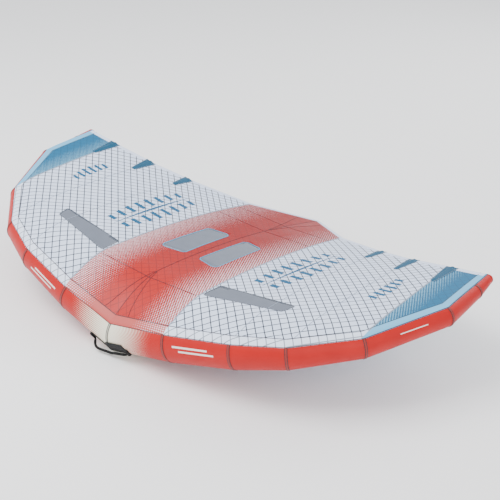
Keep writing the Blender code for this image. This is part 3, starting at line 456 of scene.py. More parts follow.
CLOSURE_CLOTH = closure_cloth()
HEM_CLOTH = plain_cloth("hem_white_folded_sailcloth", "#E2ECFF", "#D2DEF6")
POCKET_CLOTH = plain_cloth("pocket_teal_sailcloth", "#005273", "#004662")
BLUE_INK = plain_cloth("screen_print_blue_ink", "#005880", "#004C72")
WHITE_INK = plain_cloth("screen_print_white_ink", "#F2EDE6", "#E4DED6", uv_map="cloth")
SEAM_TAPE = plain_cloth("canopy_seam_dark_tape", "#33252C", "#281D23")
PALE_SEAM = plain_cloth("canopy_seam_pale_tape", "#98A3B4", "#8792A4")
RIM_BLUE = plain_cloth("window_rim_blue_tape", "#5CA8CC", "#4A98BE")
RIM_GREY = plain_cloth("window_rim_grey_tape", "#4C5562", "#414954")
print("plain cloths", HEM_CLOTH.name, POCKET_CLOTH.name)

# %% [markdown]
# ## The tube's seam tape
# Where two tube panels meet, a flat-felled seam is covered by a tape with a dark line of thread
# along each edge. The tape's map has the place round the tube first and the place across the
# tape second, from -1 to 1, so the two lines are where that second number is 0.74 from 0.

# %% Seam tape on the tube
THREAD_LINE = 0.74              # a thread's place on a tape, from 0 in the middle to 1


def tube_tape(name, middle, line):
    """A sewn tape with a dark thread line near each edge."""
    made, tree, shader = start_material(name, 0.6, {"Sheen Weight": 0.1})
    place = add_node(tree, "UVMap", uv_map="tape")
    parts = add_node(tree, "SeparateXYZ", {0: place})
    off = add_node(tree, "Math", {0: parts.outputs[1]}, operation="ABSOLUTE")
    near = add_node(tree, "Math", {0: off, 1: THREAD_LINE}, operation="SUBTRACT")
    gap = add_node(tree, "Math", {0: near}, operation="ABSOLUTE")
    dark = add_node(tree, "MapRange", {
        "Value": gap, "From Min": 0.20, "From Max": 0.30, "To Min": 1.0,
        "To Max": 0.0}, interpolation_type="SMOOTHSTEP")
    mixed = mix_colours(tree, dark, colour(middle), colour(line))
    set_inputs(shader, {"Base Color": mixed})
    thread = add_node(tree, "TexWave", {"Vector": place, "Scale": 60.0}, bands_direction="X")
    bump = add_node(tree, "Bump", {"Strength": 0.4, "Distance": 0.0003,
                                   "Height": thread.outputs["Fac"]})
    set_inputs(shader, {"Normal": bump})
    return made


RED_TAPE = tube_tape("seam_tape_red_sewn", "#8E1A12", "#1E1011")
CREAM_TAPE = tube_tape("seam_tape_cream_sewn", "#A9A79A", "#3A3A38")
print("tapes", RED_TAPE.name, CREAM_TAPE.name)

# %% [markdown]
# ## Film, webbing, foam, plastics and rubber
# The windows are clear film that has gone smoky with handling: smooth, so it shines, with soft
# creases. Webbing is woven nylon with ribs across it. The grips are closed-cell foam with small
# pores. The valve and clamp are moulded nylon, dull with a fine spark-eroded grain, and the hose
# is silicone, smooth and a little milky. Each takes its IOR from its material.

# %% Hard and soft fittings' finishes
def grained(name, light, dark, roughness, scale, depth, values=None, kind="TexNoise"):
    """A moulded or foamed surface with an even grain of a given size."""
    made, tree, shader = start_material(name, roughness, values)
    place = add_node(tree, "TexCoord").outputs["Object"]
    grain = add_node(tree, kind, {"Vector": place, "Scale": scale})
    clouds = add_node(tree, "TexNoise", {"Vector": place, "Scale": 14.0, "Detail": 4.0})
    mixed = mix_colours(tree, clouds.outputs["Fac"], colour(light), colour(dark))
    set_inputs(shader, {"Base Color": mixed})
    bump = add_node(tree, "Bump", {"Strength": 0.4, "Distance": depth, "Height": grain})
    set_inputs(shader, {"Normal": bump})
    spread = add_node(tree, "MapRange", {"Value": clouds.outputs["Fac"], "To Min": roughness - 0.07,
                                         "To Max": roughness + 0.07})
    set_inputs(shader, {"Roughness": spread})
    return made


def webbing(name, light, dark):
    """Woven nylon webbing, ribbed across, with the pitch of its ribs in metres."""
    made, tree, shader = start_material(name, 0.7, {"Sheen Weight": 0.03, "IOR": 1.53,
                                                    "Specular IOR Level": 0.25})
    place = add_node(tree, "UVMap", uv_map="webbing")
    ribs = add_node(tree, "TexWave", {"Vector": place, "Scale": WAVE_PERIOD / 0.0025,
                                      "Distortion": 0.6}, bands_direction="X")
    mixed = mix_colours(tree, ribs.outputs["Fac"], colour(dark), colour(light))
    set_inputs(shader, {"Base Color": mixed})
    bump = add_node(tree, "Bump", {"Strength": 0.6, "Distance": 0.0004,
                                   "Height": ribs.outputs["Fac"]})
    set_inputs(shader, {"Normal": bump})
    return made


WINDOW_FILM = grained("window_film_clear_tpu", "#697180", "#5B6371", 0.24, 5.0, 0.004,
                      {"IOR": 1.5, "Coat Weight": 0.3, "Coat Roughness": 0.12})
BLACK_WEBBING = webbing("webbing_black_woven_nylon", "#0D0D0F", "#050506")
GRIP_FOAM = grained("grip_eva_foam", "#3A3A3D", "#242427", 0.85, 900.0, 0.0005,
                    {"IOR": 1.45}, kind="TexVoronoi")
BLACK_NYLON = grained("valve_moulded_nylon", "#232427", "#191A1C", 0.42, 1600.0, 0.0001,
                      {"IOR": 1.53})
RED_NYLON = grained("lever_moulded_red_nylon", "#D0241A", "#B51C13", 0.38, 1600.0, 0.0001,
                    {"IOR": 1.53})
SILICONE = grained("hose_extruded_silicone", "#B9BEC2", "#A6ABB0", 0.34, 300.0, 0.0001,
                   {"IOR": 1.41, "Subsurface Weight": 0.15})
BLADDER_FILM = grained("bladder_blown_tpu_film", "#DDE1E4", "#C9CED3", 0.3, 20.0, 0.001,
                       {"IOR": 1.5})
FIBREGLASS = grained("batten_pultruded_fibreglass", "#D9DACC", "#C6C7B8", 0.35, 400.0, 0.0001,
                     {"IOR": 1.52})
THREAD = grained("bonded_polyester_thread", "#3B3438", "#2A2629", 0.6, 800.0, 0.0001,
                 {"Sheen Weight": 0.2})
PALE_THREAD = grained("bonded_polyester_thread_pale", "#C9CDD6", "#B5BAC4", 0.6, 800.0, 0.0001,
                      {"Sheen Weight": 0.2})
print(len(bpy.data.materials), "materials so far")

# %% [markdown]
# ## Meshes from rings and grids
# A tube is a row of rings and a sheet is a grid, so two small functions join them into closed
# solids with a real wall. Every piece is one mesh whose object stays at the origin. Its points
# come in the wing's frame and are carried to the ground's here. Normals are turned outwards once,
# on the closed shape.

# %% Mesh helpers
def make_piece(name, points, faces, finish, maps=None, period=None, sharp=35, ground=False):
    """A mesh object at the origin, with UV maps given for each point."""
    move = Matrix.Identity(4) if ground else TO_GROUND
    mesh = bpy.data.meshes.new(name)
    mesh.from_pydata([move @ Vector(p) for p in points], [], faces)
    for map_name, values in (maps or {}).items():
        layer = mesh.uv_layers.new(name=map_name)
        for face in mesh.polygons:
            pairs = [list(values[v]) for v in face.vertices]
            if period:
                high = max(p[0] for p in pairs)
                for pair in pairs:
                    if high - pair[0] > period / 2:
                        pair[0] += period
            for loop, pair in zip(face.loop_indices, pairs):
                layer.data[loop].uv = pair
    shape = bmesh.new()
    shape.from_mesh(mesh)
    bmesh.ops.recalc_face_normals(shape, faces=shape.faces)
    shape.to_mesh(mesh)
    shape.free()
    mesh.materials.append(finish)
    mesh.shade_smooth()
    mesh.set_sharp_from_angle(angle=math.radians(sharp))
    made = show(bpy.data.objects.new(name, mesh))
    return made


def settle(piece, body, slot, *nodes):
    """The piece rides on a body and stands for the solid pieces named; slot is not used."""
    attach(piece, body)
    if nodes:
        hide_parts(*nodes)
    return piece


def turns(count, shift=0.0):
    """Angles evenly round a circle."""
    return [2 * math.pi * (i + shift) / count for i in range(count)]


def between(first, second, count):
    """Quads between two closed rows of points whose first points are given."""
    return [(first + i, first + (i + 1) % count, second + (i + 1) % count, second + i)
            for i in range(count)]


def tube_wall(outer, inner):
    """An open tube with a wall, from outer and inner rings."""
    count = len(outer[0])
    points = [p for ring in outer + inner for p in ring]
    shift = len(outer) * count
    faces = []
    for i in range(len(outer) - 1):
        faces += between(i * count, (i + 1) * count, count)
        faces += [f[::-1] for f in between(shift + i * count, shift + (i + 1) * count, count)]
    faces += [f[::-1] for f in between(0, shift, count)]
    faces += between(shift - count, 2 * shift - count, count)
    return points, faces


def bar(rings):
    """A solid through rings, closed at both ends."""
    count = len(rings[0])
    points = [p for ring in rings for p in ring]
    faces = [tuple(range(count))[::-1]]
    for i in range(len(rings) - 1):
        faces += between(i * count, (i + 1) * count, count)
    faces.append(tuple(range((len(rings) - 1) * count, len(rings) * count)))
    return points, faces


def ringed(rings):
    """A solid through rings whose last one meets the first."""
    count = len(rings[0])
    points = [p for ring in rings for p in ring]
    faces = []
    for i in range(len(rings)):
        faces += between(i * count, (i + 1) % len(rings) * count, count)
    return points, faces


def sheet_wall(low, high):
    """A closed thin sheet between two grids."""
    rows, cols = len(low), len(low[0])
    points = [p for grid in (low, high) for row in grid for p in row]
    top = rows * cols
    faces = []
    for r in range(rows - 1):
        for c in range(cols - 1):
            a = r * cols + c
            faces.append((a, a + cols, a + cols + 1, a + 1))
            faces.append((top + a, top + a + 1, top + a + cols + 1, top + a + cols))
    border = [c for c in range(cols)] + [r * cols + cols - 1 for r in range(1, rows)]
    border += [(rows - 1) * cols + c for c in range(cols - 2, -1, -1)]
    border += [r * cols for r in range(rows - 2, 0, -1)]
    for i, a in enumerate(border):
        b = border[(i + 1) % len(border)]
        faces.append((a, b, top + b, top + a))
    return points, faces


def mirrored(points, side):
    return [Vector((side * p[0], p[1], p[2])) for p in points]


print("helpers ready")

# %% [markdown]
# ## The leading-edge panels
# The tube is seven short cloth cylinders a side, cut on a slant and sewn end to end, which is how
# flat cloth becomes a bow. Air pressure makes each one round, but a seam can't stretch, so the
# tube draws in beside it and small puckers run away from it. Each panel is lofted between its two
# slanted ends, drawn in by about a millimetre near them, with fine ripples that die away.

# %% Leading-edge panels
TUBE_SIDES = 96
CLOTH_WALL = 0.0015
SEAM_GAP = 0.0005
DRAW_IN = 0.0012                # how far a seam draws the tube in
PUCKER = 0.0006
PUCKER_COUNT = 24
PANEL_STOPS = (0.0, 0.004, 0.009, 0.016, 0.026, 0.040, 0.060)


def mitre(station):
    """Normal of the plane in which two panels meet."""
    if station == 0:
        return Vector((1, 0, 0))
    if station == LAST:
        return LE_AXES[-1]
    return (LE_AXES[station - 1] + LE_AXES[station]).normalized()


def spoke_at(panel, turn):
    """A direction square to a panel's axis, turned from its outward side."""
    axis = LE_AXES[panel]
    lift = (UP - UP.dot(axis) * axis).normalized()
    return math.cos(turn) * axis.cross(lift) + math.sin(turn) * lift


def mitre_point(panel, station, turn, radius):
    """A point on a panel's slanted end."""
    axis, normal, spoke = LE_AXES[panel], mitre(station), spoke_at(panel, turn)
    slide = spoke.dot(normal) / axis.dot(normal)
    return LE_CENTRES[station] + radius * (spoke - slide * axis)


def panel_point(panel, turn, from_start, from_end, lift):
    """A point on a panel, a distance in metres from one of its ends."""
    start = mitre_point(panel, panel, turn, LE_RADII[panel])
    end = mitre_point(panel, panel + 1, turn, LE_RADII[panel + 1])
    length = (end - start).length
    gone = from_start if from_start is not None else length - from_end
    return start.lerp(end, gone / length) + spoke_at(panel, turn) * lift


def panel_rings(panel, inset):
    """Rings of one panel, denser and drawn in near the seams."""
    length = (LE_CENTRES[panel + 1] - LE_CENTRES[panel]).length
    stops = [d for d in PANEL_STOPS if d < length / 2]
    places = [(d + SEAM_GAP / 2, None) for d in stops]
    places += [(length * f, None) for f in (0.35, 0.5, 0.65)]
    places += [(None, d + SEAM_GAP / 2) for d in reversed(stops)]
    rings = []
    for from_start, from_end in places:
        away = from_start if from_start is not None else from_end
        near = math.exp(-min(away, length - away) / 0.012)
        ripple = math.exp(-min(away, length - away) / 0.035)
        ring = []
        for turn in turns(TUBE_SIDES):
            wave = math.sin(turn * PUCKER_COUNT + panel) * ripple * (1 - near)
            lift = -DRAW_IN * near + PUCKER * (wave - 1) * ripple - inset
            ring.append(panel_point(panel, turn, from_start, from_end, lift))
        rings.append(ring)
    return rings


def cloth_map(rings, radius):
    """Metres round and along a tube for every point of its outer and inner rings."""
    values = []
    along = 0.0
    for k, ring in enumerate(rings):
        along += (ring[0] - rings[k - 1][0]).length if k else 0.0
        values += [(2 * math.pi * radius * i / len(ring), along) for i in range(len(ring))]
    return values + values


tube_panels = {}
for side, word in SIDES:
    for panel in range(LAST):
        outer, inner = panel_rings(panel, 0.0), panel_rings(panel, CLOTH_WALL)
        shape = tube_wall([mirrored(r, side) for r in outer], [mirrored(r, side) for r in inner])
        girth = 2 * math.pi * LE_RADII[panel]
        finish = NOSE_TUBE if panel == 0 else RED_TUBE
        name = f"le_panel_{word}_{panel + 1}"
        made = make_piece(f"sewn_{name}", *shape, finish,
                          {"cloth": cloth_map(outer, girth / 6.2832)}, girth)
        slot = "tube_cloth_cream" if panel == 0 else "tube_cloth_red"
        tube_panels[name] = settle(made, "wing", slot, name)
print(len(tube_panels), "tube panels,", len(tube_panels["le_panel_left_1"].data.polygons),
      "faces each")

# %% [markdown]
# ## The tube's closed ends
# Each end of the tube is shut by a round cap that bulges like a drumhead. It is a row of rings
# that shrink as a quarter circle does, and a last point closes it.

# %% Tube end caps
TIP_DOME = 0.022


def end_cap(side):
    """A domed cap on the tube's last ring."""
    rings = []
    for k in range(9):
        bulge = math.pi / 2 * k / 8.3
        ring = []
        for turn in turns(TUBE_SIDES):
            base = mitre_point(LAST - 1, LAST, turn, LE_RADII[LAST] * math.cos(bulge))
            ring.append(base + LE_AXES[-1] * (TIP_DOME * math.sin(bulge) + SEAM_GAP))
        rings.append(mirrored(ring, side))
    return rings


for side, word in SIDES:
    rings = end_cap(side)
    values = [(p.x, p.z) for ring in rings for p in ring]
    made = make_piece(f"domed_le_tip_cap_{word}", *bar(rings), RED_TUBE, {"cloth": values})
    settle(made, "wing", "tube_cloth_red", f"le_tip_cap_{word}")
print("end caps bulge", TIP_DOME, "m")

# %% [markdown]
# ## Seam tapes round the tube
# Over each slanted seam lies a tape 18 mm wide. Half of it lies on one panel and half on the
# next, so its rings step outwards from the seam on both sides. Its two rows of stitches are
# kept as lines, with the direction that points away from the cloth, for the needle further down.

# %% Tube seam tapes
TAPE_HALF = 0.009
TAPE_STEPS = (-1.0, -THREAD_LINE, -0.3, 0.0, 0.3, THREAD_LINE, 1.0)
STITCH_LIFT = 0.0013            # stitches over a tape, metres above the cloth
stitch_rows = {"dark": [], "pale": []}


def tape_ring(station, across, lift):
    """A ring at a place across the tape, from -1 on the inner panel to 1 on the outer one."""
    ring = []
    for turn in turns(TUBE_SIDES):
        away = abs(across) * TAPE_HALF
        if across < 0 and station:
            ring.append(panel_point(station - 1, turn, None, away, lift))
        else:
            ring.append(panel_point(station, turn, away, None, lift))
    return ring


for side, word in SIDES:
    for station in range(LAST):
        steps = [s for s in TAPE_STEPS if s >= 0] if station == 0 else TAPE_STEPS
        outer, inner = [], []
        values = []
        for step in steps:
            high = 0.0007 if abs(step) > 0.9 else 0.0011
            outer.append(mirrored(tape_ring(station, step, high), side))
            inner.append(mirrored(tape_ring(station, step, -0.0006), side))
            girth = 2 * math.pi * LE_RADII[station]
            values += [(girth * i / TUBE_SIDES, step) for i in range(TUBE_SIDES)]
            if abs(step) == THREAD_LINE:
                line = tape_ring(station, step, STITCH_LIFT)
                panel = station - 1 if step < 0 else station
                outs = [spoke_at(panel, turn) for turn in turns(TUBE_SIDES)]
                stitch_rows["dark"].append((mirrored(line + line[:1], side),
                                            mirrored(outs + outs[:1], side)))
        finish = CREAM_TAPE if station == 0 else RED_TAPE
        made = make_piece(f"seam_tape_{word}_{station}", *tube_wall(outer, inner), finish,
                          {"tape": values + values}, girth, sharp=60)
        settle(made, "wing", "tube_cloth_red")
print(len(stitch_rows["dark"]), "rows of stitches round the tube")

# %% [markdown]
# ## The canopy's surface
# The canopy is one curved surface: an arched profile from nose to tail whose arch gets flatter
# towards the tips. Near the front it rests on the tube, which pushes it out; the push fades in
# softly, as tight cloth leaves a tube without a fold. The front and rear edges run straight
# between stations, but the cloth between them is smooth, so the two descriptions are mixed.

# %% Canopy surface
CAMBER_AT_CENTRE, CAMBER_LOSS, CAMBER_PEAK = 0.095, 0.05, 0.2
TUBE_CLEARANCE = 0.0013
SOFT_PUSH = 0.004
FRONT = LE_STATIONS[:6]


def straight(stations, x, column):
    return float(np.interp(x, [s[0] for s in stations], [s[column] for s in stations]))


def eased(stations, x, column):
    """The same stations joined by one smooth curve."""
    xs = [s[0] for s in stations]
    values = [s[column] for s in stations]
    slopes = np.gradient(values, xs)
    i = min(max(int(np.searchsorted(xs, x)) - 1, 0), len(xs) - 2)
    run = xs[i + 1] - xs[i]
    t = min(max((x - xs[i]) / run, 0.0), 1.0)
    return float((2 * t ** 3 - 3 * t ** 2 + 1) * values[i] + (t ** 3 - 2 * t ** 2 + t) * run
                 * slopes[i] + (3 * t ** 2 - 2 * t ** 3) * values[i + 1] + (t ** 3 - t ** 2) * run
                 * slopes[i + 1])


def front_y(x):
    return straight(FRONT, x, 1)


def rear_y(x):
    return straight(TE_STATIONS, x, 1)


def canopy_height(x, y):
    """Height of the canopy's underside in the wing's frame, before the tube pushes it."""
    start, end = front_y(x), rear_y(x)
    share = min(max((y - start) / max(end - start, 0.05), 0.0), 1.0)
    mix = min(share / 0.3, 1.0) ** 2 * (3 - 2 * min(share / 0.3, 1.0))
    start += (eased(FRONT, x, 1) - start) * mix * (1 - share)
    share = min(max((y - start) / max(end - start, 0.05), 0.0), 1.0)
    peak = CAMBER_PEAK
    if share < peak:
        arch = (2 * peak * share - share ** 2) / peak ** 2
    else:
        arch = (1 - 2 * peak + 2 * peak * share - share ** 2) / (1 - peak) ** 2
    front_z = straight(FRONT, x, 2) * (1 - mix) + eased(FRONT, x, 2) * mix
    rear_z = straight(TE_STATIONS, x, 2)
    camber = CAMBER_AT_CENTRE - CAMBER_LOSS * x
    return front_z + share * (rear_z - front_z) + camber * (end - start) * arch


def nearest_tube(point):
    """The nearest tube panel: its middle there, its radius and how far outside the point is."""
    best = None
    for panel, (a, b) in enumerate(zip(LE_CENTRES, LE_CENTRES[1:])):
        run = b - a
        share = min(max((point - a).dot(run) / run.length_squared, 0.0), 1.0)
        centre = a.lerp(b, share)
        radius = LE_RADII[panel] + share * (LE_RADII[panel + 1] - LE_RADII[panel])
        over = (point - centre).length - radius
        if best is None or over < best[3]:
            best = (panel, centre, radius, over)
    return best


def off_tube(point, clearance):
    """The point, pushed straight out of the tube with a soft start."""
    panel, centre, radius, over = nearest_tube(point)
    over -= clearance
    if over >= SOFT_PUSH:
        return point
    rise = 0.0 if over < -SOFT_PUSH else (over + SOFT_PUSH) ** 2 / (4 * SOFT_PUSH)
    return centre + (point - centre).normalized() * (radius + clearance + rise)


def canopy_point(side, x, y, lift=0.0):
    """A point over the canopy's underside; x runs from the middle out."""
    raw = Vector((x, y, canopy_height(x, y) + lift))
    clear = off_tube(raw, TUBE_CLEARANCE + lift)
    return Vector((side * max(clear.x, x), clear.y, clear.z))


def canopy_normal(side, x, y):
    """The direction away from the canopy's top."""
    step = 0.004
    here = canopy_point(side, x, y)
    out = canopy_point(side, x + step, y) - here
    back = canopy_point(side, x, y + step) - here
    normal = out.cross(back) * side
    return normal.normalized() if normal.length > 1e-9 else UP


print("canopy height over the strut at mid chord", round(canopy_height(0, 1.1), 3), "m")

# %% [markdown]
# ## The canopy's panels
# Each half of the canopy is three cloths: the red middle, the big white one and the blue tip.
# They share their edges, so the rows are the same for all and only the columns change. The plan
# map is simply x and y in metres, with x from the middle out. The windows are cut with a
# Boolean modifier, whose result is kept as a plain mesh.

# %% Canopy panels and their windows
CANOPY_WALL = 0.0008
HEM_WIDTH = 0.035
PANELS = (("centre", (0.0, 0.400), RED_RIPSTOP, "ripstop_red"),
          ("middle", (0.400, 1.405), WHITE_RIPSTOP, "ripstop_white"),
          ("tip", (1.405, 1.643), BLUE_RIPSTOP, "ripstop_blue"),)
ROWS = [0.22 * k / 24 for k in range(24)] + [0.22 + 0.78 * k / 34 for k in range(35)]
COLUMN_STEP = 0.017
WINDOWS = (("large", "middle", ((0.4125, 0.333), (0.9075, 0.429), (0.934, 0.531), (0.419, 0.492)),
            0.016), ("small", "centre", ((0.060, 0.712), (0.230, 0.665), (0.222, 1.150),
                                         (0.066, 1.196)), 0.034),)
WINDOW_GAP = 0.0005


def columns(low, high):
    """Column places between two edges, with the stations among them."""
    places = {low, high}
    places |= {s[0] for s in LE_STATIONS + TE_STATIONS if low < s[0] < high}
    steps = round((high - low) / COLUMN_STEP)
    for k in range(1, steps):
        x = low + (high - low) * k / steps
        if min(abs(x - p) for p in places) > COLUMN_STEP * 0.4:
            places.add(x)
    return sorted(places)


def canopy_grid(side, xs, lift):
    grid = []
    for row in ROWS:
        grid.append([canopy_point(side, x, front_y(x) + (rear_y(x) - HEM_WIDTH - SEAM_GAP
                                                         - front_y(x)) * row, lift) for x in xs])
    return grid


def plan_map(points):
    return [(abs(p[0]), p[1]) for p in points]


def lay(name, shape, finish, slot, *nodes):
    """A piece of the wing whose map is the plan."""
    made = make_piece(name, *shape, finish, {"plan": plan_map(shape[0])})
    return settle(made, "wing", slot, *nodes)


def grid_area(grid):
    """Area of a grid in square metres."""
    total = 0.0
    for one, two in zip(grid, grid[1:]):
        for a, b, c, d in zip(one, one[1:], two[1:], two):
            total += ((c - a).cross(d - b)).length / 2
    return total


def path_length(points):
    return sum((b - a).length for a, b in zip(points, points[1:]))


def plain_result(piece):
    """Turns a piece's modifiers into a plain mesh."""
    graph = bpy.context.evaluated_depsgraph_get()
    mesh = bpy.data.meshes.new_from_object(piece.evaluated_get(graph))
    piece.modifiers.clear()
    piece.data = mesh
    return piece


def cut_with(piece, cutter, operation):
    """Applies a Boolean, keeps its result and removes the cutter."""
    cut = piece.modifiers.new("Cut", "BOOLEAN")
    cut.operation = operation
    cut.object = cutter
    plain_result(piece)
    bpy.data.objects.remove(cutter, do_unlink=True)


def rounded_outline(corners, radius, inset=0.0, steps=8):
    """A convex outline with round corners; inset moves every edge inwards."""
    middle = sum((Vector(c) for c in corners), Vector((0, 0))) / len(corners)
    outline = []
    count = len(corners)
    for i in range(count):
        here, before, after = (Vector(corners[k % count]) for k in (i, i - 1, i + 1))
        one, two = (before - here).normalized(), (after - here).normalized()
        half = math.acos(max(-1, min(1, one.dot(two)))) / 2
        bisector = (one + two).normalized()
        if bisector.dot(middle - here) < 0:
            bisector = -bisector
        here = here + bisector * inset / math.sin(half)
        centre = here + bisector * radius / math.sin(half)
        start = here + one * radius / math.tan(half) - centre
        end = here + two * radius / math.tan(half) - centre
        turn = 1 if start.cross(end) > 0 else -1
        for k in range(steps + 1):
            angle = turn * (math.pi - 2 * half) * k / steps
            outline.append(centre + Matrix.Rotation(angle, 2) @ start)
    return outline


canopy_sheets, sheet_facts = {}, {}
for side, word in SIDES:
    for place, (low, high), finish, slot in PANELS:
        xs = columns(low, high)
        xs = [xs[0] + SEAM_GAP / 2, *xs[1:-1], xs[-1] - SEAM_GAP / 2]
        under, over = canopy_grid(side, xs, 0.0), canopy_grid(side, xs, CANOPY_WALL)
        shape = sheet_wall(under, over)
        canopy_sheets[place, word] = make_piece(f"sewn_canopy_{place}_{word}", *shape, finish,
                                                {"plan": plan_map(shape[0])})
        longest = max(path_length(column) for column in zip(*under))
        widest = max(path_length(row) for row in under)
        sheet_facts[place, word] = [widest, longest, grid_area(under)]
    for size, place, corners, radius in WINDOWS:
        panel = canopy_sheets[place, word]
        film = panel.copy()
        film.data = panel.data.copy()
        film.name = f"film_window_{size}_{word}"
        show(film)
        film.data.materials.clear()
        film.data.materials.append(WINDOW_FILM)
        for piece, inset, operation in ((panel, 0.0, "DIFFERENCE"),
                                        (film, WINDOW_GAP, "INTERSECT")):
            outline = rounded_outline(corners, radius, inset)
            rings = [[Vector((side * p.x, p.y, z)) for p in outline] for z in (-0.1, 0.6)]
            cutter = make_piece("cutter", *bar(rings), WINDOW_FILM)
            cut_with(piece, cutter, operation)
        canopy_sheets[size, word] = film
for key, (widest, longest, area) in sheet_facts.items():
    print("canopy", *key, "cut", round(widest, 3), "x", round(longest, 3), "m, area",
          round(area, 3))

# %% [markdown]
# ## Ribbons on the canopy
# Seams, window rims, hems and the printed bars are all narrow strips that lie on the canopy. One
# function makes them: it walks along a path in the plan, steps to both sides of it, and puts
# four corners over the surface at every step. A closed path becomes a ring.

# %% Ribbons
def walked(path, step=0.012, closed=False):
    """Points along a path in the plan, evenly spaced, with the direction across it."""
    path = [Vector(p) for p in path]
    if closed:
        path.append(path[0])
    places = []
    for a, b in zip(path, path[1:]):
        count = max(1, math.ceil((b - a).length / step))
        places += [a.lerp(b, k / count) for k in range(count)]
    if not closed:
        places.append(path[-1])
    found = []
    for i, here in enumerate(places):
        if closed:
            ahead = places[(i + 1) % len(places)] - places[i - 1]
        else:
            ahead = places[min(i + 1, len(places) - 1)] - places[max(i - 1, 0)]
        ahead.normalize()
        found.append((here, Vector((ahead.y, -ahead.x))))
    return found


def ribbon(side, path, width, lift, wall, closed=False, ends=1.0, step=0.012):
    """A strip over the canopy; ends is the share of its width that is left at its far end."""
    spots = walked(path, step, closed)
    rings = []
    for k, (here, across) in enumerate(spots):
        half = width / 2 * (1 + (ends - 1) * k / max(len(spots) - 1, 1))
        low, high = CANOPY_WALL + lift, CANOPY_WALL + lift + wall
        ring = []
        for offset, level in ((-half, low), (half, low), (half, high), (-half, high)):
            spot = here + across * offset
            ring.append(canopy_point(side, spot.x, spot.y, level))
        rings.append(ring)
    return ringed(rings) if closed else bar(rings)


def join_shapes(shapes):
    """Several shapes as one list of points and faces."""
    points, faces = [], []
    for more_points, more_faces in shapes:
        shift = len(points)
        points += more_points
        faces += [tuple(i + shift for i in face) for face in more_faces]
    return points, faces


def sew(side, path, kind="dark", offset=0.0, lift=0.0004, closed=False):
    """Keeps a row of stitches beside a path on the canopy."""
    line, outs = [], []
    for here, across in walked(path, 0.012, closed):
        spot = here + across * offset
        line.append(canopy_point(side, spot.x, spot.y, CANOPY_WALL + lift))
        outs.append(canopy_normal(side, spot.x, spot.y))
    if closed:
        line.append(line[0])
        outs.append(outs[0])
    stitch_rows[kind].append((line, outs))


print("a metre of path gives", len(walked(((0, 0), (1, 0)))), "steps")

# %% [markdown]
# ## The folded hem
# The trailing edge is a hem of plain white sailcloth folded over the canopy's edge, 35 mm wide.
# It is a sheet of its own, a little thicker than the canopy, that thins to a round fold at the
# very edge.

# %% Trailing-edge hem
HEM_ROWS = ((0.035, 0.0006), (0.033, 0.0020), (0.024, 0.0022), (0.012, 0.0023), (0.004, 0.0021),
            (0.001, 0.0014), (0.0, 0.0008))
all_columns = []
for _, (low, high), _, _ in PANELS:
    all_columns += [x for x in columns(low, high) if x not in all_columns]
for side, word in SIDES:
    xs = [all_columns[0] + SEAM_GAP / 2] + all_columns[1:]
    low = [[canopy_point(side, x, rear_y(x) - back, 0.0) for x in xs] for back, _ in HEM_ROWS]
    high = [[canopy_point(side, x, rear_y(x) - back, wall) for x in xs] for back, wall in HEM_ROWS]
    lay(f"folded_trailing_edge_hem_{word}", sheet_wall(low, high), HEM_CLOTH,
                     "hem_white", f"trailing_edge_hem_{word}")
    for back in (0.006, 0.030):
        line = [canopy_point(side, x, rear_y(x) - back, 0.0027) for x in xs]
        outs = [canopy_normal(side, x, rear_y(x) - back) for x in xs]
        stitch_rows["pale"].append((line, outs))
print("hem along", round(path_length(low[-1]), 3), "m of edge each side")

# %% [markdown]
# ## The closure strip
# A strip 45 mm wide sews the canopy to the tube. Its front lip lies on the tube, then it climbs
# over the canopy's edge and lies on the cloth. Points ahead of the edge are found by turning
# round the tube's middle line, and points behind it by stepping in from the edge.

# %% Closure strip
STRIP_WIDTH = 0.045
STRIP_WALL = 0.0005
STRIP_STEPS = (-0.006, -0.004, -0.0015, 0.0, 0.010, 0.022, 0.034, 0.043, 0.045)
SEAM_PLACES, SEAM_STITCHES = (-0.0035, 0.0425), (-0.0045, 0.041)
SEAM_SECTION = ((-0.0016, 0.0), (0.0016, 0.0), (0.0016, 0.0006), (-0.0016, 0.0006))


def edge_walk():
    """The canopy's front edge in the plan, with the direction inwards from it."""
    edge = [Vector((s[0], s[1])) for s in LE_STATIONS]
    inward = []
    for i in range(len(edge)):
        sides = []
        for k in (i - 1, i):
            if 0 <= k < len(edge) - 1:
                run = (edge[k + 1] - edge[k]).normalized()
                sides.append(Vector((-run.y, run.x)))
        if i == 0:
            sides.append(Vector((-sides[0].x, sides[0].y)))
        middle = sum(sides, Vector((0, 0))).normalized()
        inward.append(middle / max(middle.dot(sides[0]), 0.5))
    spots = []
    for i in range(len(edge) - 1):
        count = max(2, round((edge[i + 1] - edge[i]).length / 0.02))
        spots += [(edge[i].lerp(edge[i + 1], k / count), inward[i].lerp(inward[i + 1], k / count))
                  for k in range(count)]
    return spots + [(edge[-1], inward[-1])]


def ahead_of_edge(side, spot, slide, lift):
    """A point on the tube, a distance round it from the canopy's edge."""
    raw = Vector((spot.x, spot.y, canopy_height(spot.x, spot.y)))
    panel, centre, radius, _ = nearest_tube(raw)
    away = (raw - centre).normalized()
    round_it = away.cross(LE_AXES[panel]).normalized()
    if round_it.dot(spoke_at(panel, 0.0)) < 0:
        round_it = -round_it
    angle = slide / radius
    out = away * math.cos(angle) + round_it * math.sin(angle)
    point = centre + out * (radius + lift)
    return Vector((side * point.x, point.y, point.z)), Vector((side * out.x, out.y, out.z))


def strip_point(side, spot, inward, step, lift):
    if step < 0:
        return ahead_of_edge(side, spot, -step, lift + 0.0018 * max(0.0, 1 + step / 0.004))[0]
    there = spot + inward * step
    return canopy_point(side, max(there.x, 0.0), there.y, CANOPY_WALL + lift)


